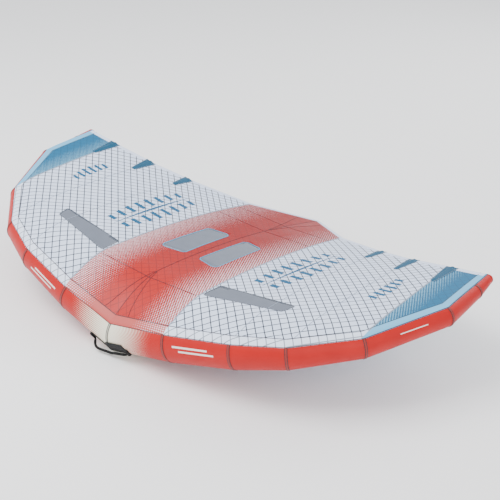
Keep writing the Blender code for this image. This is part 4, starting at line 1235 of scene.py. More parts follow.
for side, word in SIDES:
    walk = edge_walk()
    low, high = [[[strip_point(side, spot, inward, step, lift) for step in STRIP_STEPS]
                  for spot, inward in walk] for lift in (0.0002, 0.0002 + STRIP_WALL)]
    lay(f"closure_strip_{word}", sheet_wall(low, high), CLOSURE_CLOTH,
                       "ripstop_white")
    for number, step in enumerate(SEAM_PLACES):
        edge = [[strip_point(side, spot, inward, step + d, 0.0008 + h) for d, h in SEAM_SECTION]
                for spot, inward in walk]
        lay(f"closure_seam_{number}_{word}", bar(edge), SEAM_TAPE, "ripstop_white")
    for step in SEAM_STITCHES:
        line, outs = [], []
        for spot, inward in walk:
            line.append(strip_point(side, spot, inward, step, STITCH_LIFT))
            there = spot + inward * max(step, 0.0)
            outs.append(ahead_of_edge(side, spot, 0.004, 0.0)[1] if step < 0
                        else canopy_normal(side, max(there.x, 0.0), there.y))
        stitch_rows["dark"].append((line, outs))
print("closure strip", STRIP_WIDTH, "m wide, along", len(walk), "steps of the edge")

# %% [markdown]
# ## Batten pockets and battens
# Three flat fibreglass battens a side keep the trailing edge from fluttering. Each is sewn under
# a tapered pocket of teal sailcloth, which humps over the batten along its middle. The hump is a
# cosine across the pocket, and the pocket's front end is rounded off by narrowing its last rows.

# %% Batten pockets and battens
POCKETS = (("inner", (0.825, 1.462), 0.802, 0.875), ("middle", (1.112, 1.330), 1.086, 1.168),
           ("outer", (1.412, 1.228), 1.379, 1.465),)
POCKET_FRONT_WIDTH = 0.034
POCKET_END_GAP = 0.004
HUMP = 0.0058
BATTEN_WIDTH, BATTEN_WALL, BATTEN_LIFT = 0.012, 0.0016, 0.0020
BATTEN_MARGIN = 0.014
POCKET_ROUND = ((0.0, 0.55), (0.02, 0.84), (0.05, 0.97))


def pocket_spots(front, rear_a, rear_b):
    """Middle points, half widths and the direction across, from front to rear."""
    start = Vector(front)
    x_end = (rear_a + rear_b) / 2
    end = Vector((x_end, rear_y(x_end) - POCKET_END_GAP))
    ahead = (end - start).normalized()
    shares = [s for s, _ in POCKET_ROUND] + [0.09 + 0.91 * k / 16 for k in range(17)]
    spots = []
    for share in shares:
        half = POCKET_FRONT_WIDTH / 2 * (1 - share) + (rear_b - rear_a) / 2 * share
        half *= dict(POCKET_ROUND).get(share, 1.0)
        spots.append((start.lerp(end, share), half))
    return start, end, ahead, Vector((ahead.y, -ahead.x)), spots


for side, word in SIDES:
    for place, front, rear_a, rear_b in POCKETS:
        start, end, ahead, across, spots = pocket_spots(front, rear_a, rear_b)
        low, high = [], []
        for k, (middle, half) in enumerate(spots):
            fade = min(1.0, k / 4)
            one, two = [], []
            for c in range(13):
                offset = half * (c / 6 - 1)
                hump = HUMP * fade * max(0.0, math.cos(min(abs(offset) / 0.016, 1) * math.pi / 2))
                spot = middle + across * offset
                one.append(canopy_point(side, spot.x, spot.y, CANOPY_WALL + 0.0003 + hump * 0.9))
                two.append(canopy_point(side, spot.x, spot.y, CANOPY_WALL + 0.0016 + hump))
            low.append(one)
            high.append(two)
        name = f"batten_pocket_{place}_{word}"
        lay(f"sewn_{name}", sheet_wall(low, high), POCKET_CLOTH, "pocket_teal", name)
        for edge in (-1, 1):
            line, outs = [], []
            for middle, half in spots:
                spot = middle + across * edge * (half - 0.004)
                line.append(canopy_point(side, spot.x, spot.y, CANOPY_WALL + 0.0021))
                outs.append(canopy_normal(side, spot.x, spot.y))
            stitch_rows["pale"].append((line, outs))

        near, far = start + ahead * BATTEN_MARGIN, end - ahead * BATTEN_MARGIN
        low, high = [], []
        for k in range(15):
            middle = near.lerp(far, k / 14)
            rows = [middle + across * BATTEN_WIDTH * (c / 4 - 0.5) for c in range(5)]
            base = CANOPY_WALL + BATTEN_LIFT
            low.append([canopy_point(side, p.x, p.y, base) for p in rows])
            high.append([canopy_point(side, p.x, p.y, base + BATTEN_WALL) for p in rows])
        lay(f"flat_batten_{place}_{word}", sheet_wall(low, high), FIBREGLASS, "fibreglass",
            f"batten_{place}_{word}")
print(2 * len(POCKETS), "pockets, each over a batten", BATTEN_WIDTH, "m wide")

# %% [markdown]
# ## Canopy seams
# The red band is cut from several cloths: a seam down the middle, two that fan out at the nose,
# two at the tail, and three that cross it in shallow arcs. Thin pale seams also run back from the
# tube's stations. Each is a narrow dark or pale ribbon. The joins between the three big cloths
# carry a seam with a row of stitches on both sides.

# %% Canopy seams
def arc(reach, y, bow, steps=10):
    """A shallow arc across one half of the canopy, from the middle out."""
    return [(reach * k / steps, y - bow * (k / steps) ** 2) for k in range(steps + 1)]


NOSE_FAN = ((0.006, 0.385), (0.026, 0.29), (0.052, 0.18), (0.076, 0.09), (0.094, 0.050))
TAIL_FAN = ((0.006, 1.545), (0.020, 1.66), (0.045, 1.80), (0.075, 1.93), (0.100, 2.045))
DARK_SEAMS = (NOSE_FAN, TAIL_FAN, arc(0.388, 0.318, 0.012), arc(0.392, 1.485, 0.030),
              arc(0.392, 1.735, 0.040))
CHORD_SEAMS = (((0.822, 0.135), (0.823, 0.80), (0.825, 1.455)),
               ((1.112, 0.265), (1.112, 0.80), (1.112, 1.325)))
JOINS = (((0.400, 0.066), (0.400, 1.835)), ((1.405, 0.545), (1.405, 1.222)))
for side, word in SIDES:
    dark = [ribbon(side, path, 0.0032, 0.0003, 0.0006) for path in DARK_SEAMS]
    pale = [ribbon(side, path, 0.0034, 0.0003, 0.0006) for path in CHORD_SEAMS]
    pale += [ribbon(side, path, 0.007, 0.0003, 0.0008) for path in JOINS]
    if side > 0:
        middle = [(0.0, y) for y in (0.048, 0.7, 1.4, 2.150)]
        shape = ribbon(1, middle, 0.0001, 0.0003, 0.0006)
        wide = []
        for k, point in enumerate(shape[0]):
            wide.append(Vector((0.0019 * (-1 if k % 4 in (0, 3) else 1), point.y, point.z)))
        dark.append((wide, shape[1]))
    for kind, shapes, finish in (("dark", dark, SEAM_TAPE), ("pale", pale, PALE_SEAM)):
        lay(f"canopy_seams_{kind}_{word}", join_shapes(shapes), finish,
            "ripstop_red" if kind == "dark" else "ripstop_white")
    for path in JOINS:
        for offset in (-0.006, 0.006):
            sew(side, path, "pale", offset)
    for path in DARK_SEAMS:
        sew(side, path, "dark", 0.0, 0.0011)
print(len(DARK_SEAMS) + len(CHORD_SEAMS) + len(JOINS), "seams on each half")

# %% [markdown]
# ## Window rims
# Film tears along a line of stitches, so each window is bound by a tape that covers its edge: a
# pale blue one in the red band and a dark grey one in the white cloth. The tape is a ribbon round
# the window's outline, half on the film and half on the cloth.

# %% Window rims
for side, word in SIDES:
    for size, place, corners, radius in WINDOWS:
        width, finish = (0.0065, RIM_BLUE) if size == "small" else (0.005, RIM_GREY)
        outline = rounded_outline(corners, radius)
        shape = ribbon(side, outline, width, 0.0002, 0.0009, closed=True, step=0.010)
        lay(f"window_rim_{size}_{word}", shape, finish, "ripstop_white")
        sew(side, outline, "pale" if size == "large" else "dark", 0.0, STITCH_LIFT, closed=True)

# %% [markdown]
# ## Plain printed shapes
# Canopies carry bold print. Here it is kept plain: a long tapered stripe with a ladder of short
# bars beside it on the white cloth, and a few slanted bars further out. Each shape is a film of
# ink, so it is a ribbon a third of a millimetre thick, in the ink's own material.

# %% Printed bars and stripes
INK_WALL = 0.0003


def ladder(side, foot, head, count, near, far, width):
    """Short bars across a line from foot to head, longest in the middle."""
    shapes = []
    foot, head = Vector(foot), Vector(head)
    run = (head - foot).normalized()
    across = Vector((run.y, -run.x))
    for k in range(count):
        share = (k + 0.5) / count
        reach = far * (0.55 + 0.45 * math.sin(math.pi * share))
        spot = foot.lerp(head, share)
        path = (spot + across * near, spot + across * (near + reach))
        shapes.append(ribbon(side, path, width, 0.0002, INK_WALL))
    return shapes


for side, word in SIDES:
    foot, head = ((0.610, 0.640), (0.655, 1.400)) if side > 0 else ((0.615, 0.640), (0.625, 1.400))
    middle = Vector(foot).lerp(Vector(head), 0.5)
    shapes = [ribbon(side, (middle, foot), 0.020, 0.0002, INK_WALL, ends=0.12),
              ribbon(side, (middle, head), 0.020, 0.0002, INK_WALL, ends=0.12)]
    shapes += ladder(side, foot, head, 8, 0.030, 0.095, 0.034)
    shapes += ladder(side, foot, head, 8, -0.030, -0.095, 0.034)
    shapes += ladder(side, (1.235, 0.85), (1.245, 1.19), 6, -0.042, 0.088, 0.024)
    lay(f"printed_bars_{word}", join_shapes(shapes), BLUE_INK, "ripstop_blue")


def tube_stripe(side, panel, turn, start, end, width):
    """A band of ink along a tube panel."""
    rings = []
    spread = width / 2 / LE_RADII[panel]
    for k in range(13):
        away = start + (end - start) * k / 12
        low = [panel_point(panel, turn + s * spread, away, None, -0.0008) for s in (-1, -.3, .3, 1)]
        high = [panel_point(panel, turn + s * spread, away, None, 0.0004) for s in (1, .3, -.3, -1)]
        rings.append(mirrored(low + high, side))
    return bar(rings)


STRIPES = ((1, 0.18, 0.07, 0.30, 0.011), (1, -0.02, 0.11, 0.34, 0.011),
           (4, 0.45, 0.22, 0.40, 0.006))
for side, word in SIDES:
    points, faces = join_shapes([tube_stripe(side, *stripe) for stripe in STRIPES])
    made = make_piece(f"printed_tube_stripes_{word}", points, faces, WHITE_INK,
                      {"cloth": [(p.x, p.z) for p in points]})
    settle(made, "wing", "tube_cloth_cream")
print("printed shapes are", INK_WALL, "m thick")

# %% [markdown]
# ## The strut
# The strut is one more inflated tube, under the canopy's middle. It is widest behind the nose and
# tapers to its tail. Its front end is cut to a saddle that fits round the nose tube: for each
# line along the strut, the place where it leaves the nose tube is found by halving an interval.

# %% Strut tube
STRUT_RADII = ((0.12, 0.100), (0.30, 0.100), (0.60, 0.097), (1.00, 0.088),
               (1.40, 0.076), (1.80, 0.060), (2.06, 0.047))
STRUT_ENDS = (0.12, 2.06)
STRUT_GAP = 0.0018
STRUT_SIDES = 80


def strut_radius(y):
    return eased(STRUT_RADII, y, 1)


def strut_middle(y):
    return Vector((0, y, canopy_height(0.0, y) - STRUT_GAP - strut_radius(y)))


def strut_point(y, turn, lift=0.0):
    middle, radius = strut_middle(y), strut_radius(y) + lift
    return Vector((radius * math.sin(turn), y, middle.z + radius * math.cos(turn)))


def inside_nose(point):
    mirrored_in = Vector((abs(point.x), point.y, point.z))
    return nearest_tube(mirrored_in)[3] < 0.0012


def saddle_y(turn):
    """Where a line along the strut leaves the nose tube."""
    low, high = STRUT_ENDS[0], 0.40
    if not inside_nose(strut_point(low, turn)):
        return low
    for _ in range(24):
        middle = (low + high) / 2
        low, high = (middle, high) if inside_nose(strut_point(middle, turn)) else (low, middle)
    return high


STARTS = [saddle_y(turn) for turn in turns(STRUT_SIDES)]
shares = [0.0, 0.006, 0.014] + [0.03 + 0.97 * k / 46 for k in range(47)]
outer, inner = [], []
for share in shares:
    one, two = [], []
    for turn, start in zip(turns(STRUT_SIDES), STARTS):
        y = start + (STRUT_ENDS[1] - start) * share
        one.append(strut_point(y, turn))
        two.append(strut_point(y, turn, -CLOTH_WALL))
    outer.append(one)
    inner.append(two)
girth = 2 * math.pi * STRUT_RADII[0][1]
strut = make_piece("sewn_strut_tube", *tube_wall(outer, inner), CREAM_TUBE,
                   {"cloth": cloth_map(outer, STRUT_RADII[0][1])}, girth)
settle(strut, "wing", "tube_cloth_cream", "strut_tube")
print("saddle reaches back to", round(max(STARTS), 3), "m from the nose")

# %% [markdown]
# ## Bands and tail of the strut
# Three taped seams go round the strut, like those of the leading edge. Its rear end is a moulded
# cap with a foot on which the wing rests. The cap is a dome; the foot is a block with rounded
# edges whose underside is level with the ground.

# %% Strut bands and tail cap
STRUT_SEAMS = (0.62, 1.21, 1.80)
for number, y in enumerate(STRUT_SEAMS):
    rings = {}
    values = []
    for lift, kind in ((0.0011, "over"), (-0.0006, "under")):
        rings[kind] = [[strut_point(y + step * TAPE_HALF, turn, lift)
                        for turn in turns(STRUT_SIDES)] for step in TAPE_STEPS]
        values += [(girth * i / STRUT_SIDES, step) for step in TAPE_STEPS
                   for i in range(STRUT_SIDES)]
    made = make_piece(f"strut_seam_tape_{number}", *tube_wall(rings["over"], rings["under"]),
                      CREAM_TAPE, {"tape": values}, girth, sharp=60)
    settle(made, "wing", "tube_cloth_cream")
    for step in (-THREAD_LINE, THREAD_LINE):
        around = turns(STRUT_SIDES) + [2 * math.pi]
        line = [strut_point(y + step * TAPE_HALF, turn, STITCH_LIFT) for turn in around]
        stitch_rows["dark"].append((line, [Vector((math.sin(t), 0, math.cos(t))) for t in around]))

TAIL = STRUT_ENDS[1]
TAIL_CAP_LENGTH = 0.045
TAIL_SPIGOT, SPIGOT_INSET = 0.030, 0.0027


def softened_copy(name, node, finish, edge):
    """A solid piece's own shape with its facets merged and its edges rounded."""
    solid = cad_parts[node]
    shape = bmesh.new()
    shape.from_mesh(solid.data)
    bmesh.ops.transform(shape, matrix=solid.matrix_world, verts=shape.verts)
    bmesh.ops.remove_doubles(shape, verts=shape.verts, dist=1e-5)
    bmesh.ops.dissolve_limit(shape, angle_limit=math.radians(1), verts=shape.verts,
                             edges=shape.edges)
    bmesh.ops.recalc_face_normals(shape, faces=shape.faces)
    mesh = bpy.data.meshes.new(name)
    shape.to_mesh(mesh)
    shape.free()
    made = show(bpy.data.objects.new(name, mesh))
    rounded = made.modifiers.new("Rounded", "BEVEL")
    rounded.width = edge
    rounded.segments = 3
    rounded.limit_method = "ANGLE"
    plain_result(made)
    made.data.materials.clear()
    made.data.materials.append(finish)
    made.data.shade_smooth()
    made.data.set_sharp_from_angle(angle=math.radians(40))
    return made


tail_rings = []
for k in range(3):
    inset = SPIGOT_INSET if k < 2 else 0.0
    y = TAIL - TAIL_SPIGOT if k == 0 else TAIL
    tail_rings.append([strut_point(y, turn, -inset) + Vector((0, SEAM_GAP if k else 0, 0))
                       for turn in turns(STRUT_SIDES)])
for k in range(1, 13):
    bulge = math.radians(78 * k / 12)
    inset = strut_radius(TAIL) * (1 - math.cos(bulge))
    tail_rings.append([strut_point(TAIL, turn, -inset)
                       + Vector((0, SEAM_GAP + TAIL_CAP_LENGTH * math.sin(bulge), 0))
                       for turn in turns(STRUT_SIDES)])
foot_low, foot_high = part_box("strut_tail_cap")
dome = bar(tail_rings)
dome_points = [TO_GROUND @ p for p in dome[0]]
top = strut_middle(TAIL).z - strut_radius(TAIL) * 0.75
_, foot_back, foot_top = TO_GROUND @ Vector((0, TAIL + 0.02, top))
FOOT_HALF = 0.028
FOOT_LEVELS = ((0.0, 0.006), (0.0012, 0.0035), (0.004, 0.001), (0.008, 0.0), (foot_top, 0.003))
foot_rings = []
for level, inset in FOOT_LEVELS:
    ring = []
    for turn in turns(40):
        across, back = math.cos(turn), math.sin(turn)
        round_off = (abs(across) ** 5 + abs(back) ** 5) ** (-0.2)
        ring.append(Vector((across * round_off * (FOOT_HALF - inset),
                            foot_back + 0.006 + back * round_off * (0.024 - inset), level)))
    foot_rings.append(ring)
points, faces = join_shapes(((dome_points, dome[1]), bar(foot_rings)))
tail_cap = make_piece("moulded_strut_tail_cap", points, faces, BLACK_NYLON, ground=True)
settle(tail_cap, "wing", "webbing_black", "strut_tail_cap")
print("foot", tuple(round(v, 4) for v in foot_low), tuple(round(v, 4) for v in foot_high))

# %% [markdown]
# ## Strut handles
# Each handle is a loop of webbing, threaded through a foam grip and held at both ends by tabs of
# folded webbing on a strip sewn to the strut. The sections are rounded rectangles: a power of the
# sine and cosine makes a circle boxy. The same section, moved along a path, makes the strip with
# its tabs and the loop.

# %% Strut handles
HANDLES = (("front", 0.64), ("rear", 1.22))
HANDLE_LENGTH, HANDLE_DROP, PIVOT_DROP = 0.340, 0.064, 0.009
STRIP_HALF, STRIP_HEIGHT = 0.016, 0.003
TAB_LENGTH, TAB_HEIGHT = 0.014, 0.016
STUB, BEND = 0.012, 0.052
WEB_HALF_WIDTH, WEB_HALF_THICK = 0.0066, 0.0022
GRIP_RADIUS, GRIP_BORE = 0.0155, 0.0054


def boxy_ring(middle, across, out, half_wide, half_high, count=16, power=0.45):
    """A rounded rectangle round a point."""
    ring = []
    for turn in turns(count, 0.5):
        c, s = math.cos(turn), math.sin(turn)
        ring.append(middle + across * half_wide * math.copysign(abs(c) ** power, c)
                    + out * half_high * math.copysign(abs(s) ** power, s))
    return ring


def webbing_map(rings):
    """Metres along and round a webbing for each point of its rings."""
    values = []
    along = 0.0
    for k, ring in enumerate(rings):
        along += (sum(ring, Vector()) / len(ring) - sum(rings[k - 1], Vector())
                  / len(ring)).length if k else 0.0
        values += [(along, 0.003 * i) for i in range(len(ring))]
    return values


def web(name, rings, body, node):
    """A bar of black webbing in a solid piece's place."""
    made = make_piece(name, *bar(rings), BLACK_WEBBING, {"webbing": webbing_map(rings)})
    return settle(made, body, "webbing_black", node)


def strip_with_tabs(origin, along, across, out, reach, half_wide, thin, tab_long, tab_high):
    """A sewn strip with a rounded tab at each end; heights grow from the surface it is on."""
    heights = ((0.0, 0.5), (0.0015, 0.86), (0.004, 1.0), (tab_long - 0.0035, 1.0),
               (tab_long - 0.0012, 0.88), (tab_long, 0.55), (tab_long + 0.0003, 0.0))
    sections = [(s, thin + (tab_high - thin) * f) for s, f in heights]
    steps = 14
    start = tab_long + 0.006
    sections += [(start + (reach - 2 * start) * k / steps, thin) for k in range(steps + 1)]
    sections += [(reach - s, thin + (tab_high - thin) * f) for s, f in reversed(heights)]
    rings = []
    for s, high in sections:
        middle = origin + along * s + out * high / 2
        rings.append(boxy_ring(middle, across, out, half_wide, high / 2, power=0.3))
    return rings


def straight_bottom(y):
    """The solid strut's underside, from which the handles hang."""
    radius = straight(STRUT_RADII, y, 1)
    return canopy_height(0.0, y) - STRUT_GAP - 2 * radius


def foam_grip(start, along, length):
    """A grip with a bore, shallow grooves and rounded ends."""
    side = Vector((1, 0, 0))
    other = along.cross(side)
    profile = [(GRIP_BORE, 0.0), (GRIP_RADIUS - 0.0042, 0.0), (GRIP_RADIUS - 0.0015, 0.0018),
               (GRIP_RADIUS - 0.0002, 0.0048)]
    grooves = 40
    for k in range(grooves + 1):
        share = k / grooves
        groove = 0.0011 * max(0.0, math.sin(share * grooves * math.pi / 2.0)) ** 4
        swell = 0.0012 * math.sin(math.pi * share)
        profile.append((GRIP_RADIUS + swell - groove, 0.007 + (length - 0.014) * share))
    profile += [(r, length - h) for r, h in profile[3::-1]]
    count = 32
    rings = []
    for turn in turns(count):
        spoke = math.cos(turn) * side + math.sin(turn) * other
        rings.append([start + spoke * r + along * h for r, h in profile])
    return ringed(rings)


for place, start in HANDLES:
    end = start + HANDLE_LENGTH
    slope = (straight_bottom(end) - straight_bottom(start)) / HANDLE_LENGTH
    samples = [start + HANDLE_LENGTH * i / 12 for i in range(13)]
    drop = min(straight_bottom(y) - slope * (y - start) for y in samples) - 0.0008
    along = Vector((0, 1, slope)).normalized()
    down = Vector((0, slope, -1)).normalized()
    across = Vector((1, 0, 0))
    origin = Vector((0, start, drop))
    reach = HANDLE_LENGTH / along.y
    rings = strip_with_tabs(origin, along, across, down, reach, STRIP_HALF, STRIP_HEIGHT,
                            TAB_LENGTH, TAB_HEIGHT)
    web(f"sewn_strut_handle_base_{place}", rings, "wing", f"strut_handle_base_{place}")
    for offset in (-0.012, 0.012):
        line = [origin + along * s + across * offset + down * (STRIP_HEIGHT + 0.0004)
                for s in (0.022, reach / 2, reach - 0.022)]
        stitch_rows["pale"].append((line, [down] * 3))

    pivot = origin + down * (STRIP_HEIGHT + PIVOT_DROP) + along * reach / 2
    half = reach / 2 - TAB_LENGTH - 0.0008
    route = [(half, 0.0)]
    for k in range(15):
        share = k / 14
        ease = share * share * (3 - 2 * share)
        route.append((half - STUB - BEND * share, HANDLE_DROP * ease))
    route += [(-s, d) for s, d in reversed(route)]
    middles = [pivot - along * s + down * d for s, d in route]
    rings = []
    for k, middle in enumerate(middles):
        ahead = (middles[min(k + 1, len(middles) - 1)] - middles[max(k - 1, 0)]).normalized()
        rings.append(boxy_ring(middle, across, ahead.cross(across), WEB_HALF_WIDTH, WEB_HALF_THICK))
    web(f"webbing_strut_handle_strap_{place}", rings, f"strut_handle_{place}",
        f"strut_handle_strap_{place}")

    grip_half = half - STUB - BEND - 0.005
    shape = foam_grip(pivot + down * HANDLE_DROP - along * grip_half, along, 2 * grip_half)
    made = make_piece(f"foam_strut_handle_grip_{place}", *shape, GRIP_FOAM)
    settle(made, f"strut_handle_{place}", "grip_foam", f"strut_handle_grip_{place}")
print("grips", round(2 * grip_half, 3), "m long")

# %% [markdown]
# ## The nose handle
# At the nose a strap is sewn along the tube, with a padded part to hold on its right half. A
# second, slack strap is sewn to its two ends and falls into a loop on the left, where a leash or
# a finger catches it. A smooth curve goes through the slack strap's heights over the tube.

# %% Nose handle
STRAP_DIRECTION = Vector((0, -math.cos(math.radians(48)), -math.sin(math.radians(48))))
STRAP_THIN, STRAP_LIFT = 0.0034, 0.0009
NOSE_STRAP_HALF_WIDTH = 0.015
STRAP_RISE = 0.032              # how much further the strap reaches up the tube than down
LOOP_POINTS = ((-0.1382, 0.0118), (-0.1335, 0.0124), (-0.1265, 0.0230), (-0.1150, 0.0390),
               (-0.0980, 0.0475), (-0.0750, 0.0455), (-0.0450, 0.0360), (-0.0150, 0.0260),
               (0.0150, 0.0225), (0.0500, 0.0200), (0.0850, 0.0185), (0.1150, 0.0168),
               (0.1335, 0.0128), (0.1382, 0.0120))
PAD_FROM, PAD_TO, PAD_HEIGHT, PAD_HALF_WIDTH = -0.020, 0.128, 0.0044, 0.030


def on_nose(x, direction, lift=0.0):
    """A point over the first tube panel, a direction across x from its middle."""
    share = abs(x) / LE_CENTRES[1].x
    middle = LE_CENTRES[0].lerp(LE_CENTRES[1], share)
    radius = LE_RADII[0] + share * (LE_RADII[1] - LE_RADII[0])
    slant = math.sqrt(1 - direction.dot(LE_AXES[0]) ** 2)
    return Vector((x, middle.y, middle.z)) + direction * (radius / slant + lift)


def smooth_through(points, steps):
    """A smooth curve through points, with some more between each two."""
    route = []
    for i in range(len(points) - 1):
        a, b, c, d = (points[min(max(i + k, 0), len(points) - 1)] for k in (-1, 0, 1, 2))
        for k in range(steps):
            t = k / steps
            route.append(0.5 * (2 * b + (c - a) * t + (2 * a - 5 * b + 4 * c - d) * t * t
                                + (3 * b - a - 3 * c + d) * t ** 3))
    return route + [points[-1]]


nose_across = Vector((0, -STRAP_DIRECTION.z, STRAP_DIRECTION.y))
tab_steps = ((0.152, 0.006), (0.1508, 0.0140), (0.1480, 0.017), (0.1425, 0.017), (0.1405, 0.0145),
             (0.1400, 0.009), (0.1396, 0.0024))
places = [(-x, high, NOSE_STRAP_HALF_WIDTH) for x, high in tab_steps]
for k in range(25):
    x = -0.136 + 0.272 * k / 24
    share = min(max((x - PAD_FROM) / (PAD_TO - PAD_FROM), 0.0), 1.0)
    swell = min(1.0, 3.2 * math.sin(math.pi * share) ** 0.8) if 0 < share < 1 else 0.0
    places.append((x, STRAP_THIN + (PAD_HEIGHT - STRAP_THIN) * swell,
                   NOSE_STRAP_HALF_WIDTH + (PAD_HALF_WIDTH - NOSE_STRAP_HALF_WIDTH) * swell))
places += [(x, high, NOSE_STRAP_HALF_WIDTH) for x, high in reversed(tab_steps)]
rings = []
for x, high, half_wide in places:
    half_wide += STRAP_RISE / 2
    ring = []
    for turn in turns(20, 0.5):
        c, s = math.cos(turn), math.sin(turn)
        offset = half_wide * math.copysign(abs(c) ** 0.3, c) - (half_wide - 0.015)
        level = STRAP_LIFT + high * (0.5 + 0.5 * math.copysign(abs(s) ** 0.3, s))
        ring.append(on_nose(x, STRAP_DIRECTION, level) + nose_across * offset
                    - STRAP_DIRECTION * offset ** 2 / (2 * LE_RADII[0]))
    rings.append(ring)
web("sewn_nose_handle_base", rings, "wing", "nose_handle_base")

LOOP_RADIUS = 0.0082
middles = smooth_through([on_nose(x, STRAP_DIRECTION, lift) for x, lift in LOOP_POINTS], 4)
rings = []
for k, middle in enumerate(middles):
    ahead = (middles[min(k + 1, len(middles) - 1)] - middles[max(k - 1, 0)]).normalized()
    fat = 0.36 + 0.64 * min(1.0, min(k, len(middles) - 1 - k) / 9)
    rings.append(boxy_ring(middle, nose_across, ahead.cross(nose_across), LOOP_RADIUS * fat,
                           LOOP_RADIUS * fat, power=0.92))
web("webbing_nose_handle_loop", rings, "nose_handle", "nose_handle_loop")
print("nose loop", round(path_length(middles), 3), "m of webbing")

# %% [markdown]
# ## The inflation valve
# The valve is moulded nylon: a flanged socket welded to the bladder, a sprung poppet in it, and a
# cap on a living hinge. Everything but the hinge is turned, so a profile of radius and height is
# carried round an axis that points level and back out of the nose tube. The cloth has a hole
# for it.

# %% Inflation valve
def frame_along(origin, direction, up=UP):
    """A frame whose z runs along a direction and whose y leans to up."""
    z = Vector(direction).normalized()
    x = Vector(up).cross(z)
    x = z.orthogonal() if x.length < 1e-6 else x
    x.normalize()
    made = Matrix((x, z.cross(x), z)).transposed().to_4x4()
    made.translation = origin
    return made


def turned_ring(profile, place, sides=64):
    """A closed profile of (radius, height) carried round the frame's z."""
    rings = []
    for turn in turns(sides):
        rings.append([place @ Vector((r * math.cos(turn), r * math.sin(turn), h))
                      for r, h in profile])
    return ringed(rings)


def turned_solid(discs, place, sides=64):
    """A solid of revolution from (radius, height) pairs."""
    rings = []
    for r, h in discs:
        rings.append([place @ Vector((r * math.cos(turn), r * math.sin(turn), h))
                      for turn in turns(sides)])
    return bar(rings)


LEVEL_BACK = Matrix.Rotation(-PITCH, 3, "X") @ Vector((0, 1, 0))
GROUND_UP = Matrix.Rotation(-PITCH, 3, "X") @ UP
VALVE_X, VALVE_TOP, HINGE_REACH = 0.200, 0.009, 0.0215
valve_place = frame_along(on_nose(VALVE_X, LEVEL_BACK), LEVEL_BACK, GROUND_UP)
socket = ((0.0110, -0.0200), (0.0116, -0.0205), (0.0144, -0.0205), (0.0150, -0.0195),
          (0.0150, 0.0016), (0.0225, 0.0016), (0.0230, 0.0022), (0.0230, 0.0034),
          (0.0222, 0.0042), (0.0162, 0.0044), (0.0152, 0.0050), (0.0150, 0.0082),
          (0.0144, 0.0090), (0.0118, 0.0090), (0.0112, 0.0084), (0.0110, 0.0070))


def hinge_tongue(low, high, start, half_wide):
    """A flat tongue of nylon that reaches to the hinge."""
    up, middle = (high - low) / 2, (high + low) / 2
    rings = []
    for k in range(7):
        reach = start + (HINGE_REACH - start) * k / 6
        centre = valve_place @ Vector((0, reach, middle))
        side = valve_place.to_3x3() @ Vector((1, 0, 0))
        out = valve_place.to_3x3() @ Vector((0, 0, 1))
        narrow = half_wide * (1 - 0.12 * (k / 6) ** 3)
        rings.append(boxy_ring(centre, side, out, narrow, up, power=0.3))
    return bar(rings)


shape = join_shapes((turned_ring(socket, valve_place), hinge_tongue(0.0026, 0.0080, 0.0155, 0.005)))
settle(make_piece("moulded_valve_body", *shape, BLACK_NYLON), "wing", "valve_plastic", "valve_body")
poppet = ((0.0096, -0.0100), (0.0104, -0.0094), (0.0104, -0.0084), (0.0098, -0.0080),
          (0.0030, -0.0078), (0.0025, -0.0072), (0.0025, 0.0004), (0.0018, 0.0010))
settle(make_piece("moulded_valve_poppet", *turned_solid(poppet, valve_place), BLACK_NYLON),
       "valve_poppet", "valve_plastic", "valve_poppet")
cap_floor = VALVE_TOP + 0.0005
cap_discs = ((0.0166, cap_floor), (0.0170, cap_floor + 0.0005), (0.0170, cap_floor + 0.0020),
             (0.0164, cap_floor + 0.0027), (0.0150, cap_floor + 0.0030),
             (0.0138, cap_floor + 0.0030), (0.0132, cap_floor + 0.0026),
             (0.0040, cap_floor + 0.0026))
shape = join_shapes((turned_solid(cap_discs, valve_place),
                     hinge_tongue(cap_floor + 0.0002, cap_floor + 0.0019, 0.0140, 0.0045)))
settle(make_piece("moulded_valve_cap", *shape, BLACK_NYLON), "valve_cap", "valve_plastic",
       "valve_cap")
hole = make_piece("cutter", *turned_solid(((0.0156, -0.03), (0.0156, 0.02)), valve_place),
                  BLACK_NYLON)
cut_with(tube_panels["le_panel_right_1"], hole, "DIFFERENCE")
print("valve at", tuple(round(v, 3) for v in TO_GROUND @ valve_place.translation))

# %% [markdown]
# ## Swept by nodes: the hose
# The hose carries air from the nose tube to the strut. It is extruded silicone with shallow
# rings, and a cuff at both ends. This is a job for Geometry Nodes: a line becomes a curve, its
# radius waves with the distance along it, and a circle is swept over it. The tree's sizes are
# named inputs, so another hose only needs other numbers.

# %% The hose tree
def new_tree(name, numbers):
    """A geometry tree with geometry in and out and named number inputs."""
    tree = bpy.data.node_groups.new(name, "GeometryNodeTree")
    sockets = tree.interface
    sockets.new_socket("Geometry", in_out="INPUT", socket_type="NodeSocketGeometry")
    keys = {}
    for number in numbers:
        made = sockets.new_socket(number, in_out="INPUT", socket_type="NodeSocketFloat")
        keys[number] = made.identifier
    made = sockets.new_socket("Material", in_out="INPUT", socket_type="NodeSocketMaterial")
    keys["Material"] = made.identifier
    sockets.new_socket("Geometry", in_out="OUTPUT", socket_type="NodeSocketGeometry")
    return tree, keys


def close_tree(tree, source, geometry):
    """Ends a tree in Realize Instances and Set Material."""
    real = add_node(tree, "GeometryNodeRealizeInstances", {0: geometry})
    painted = add_node(tree, "GeometryNodeSetMaterial", {"Geometry": real,
                                                         "Material": source.outputs["Material"]})
    smooth = add_node(tree, "GeometryNodeSetShadeSmooth", {"Geometry": painted})
    add_node(tree, "NodeGroupOutput", {0: smooth})


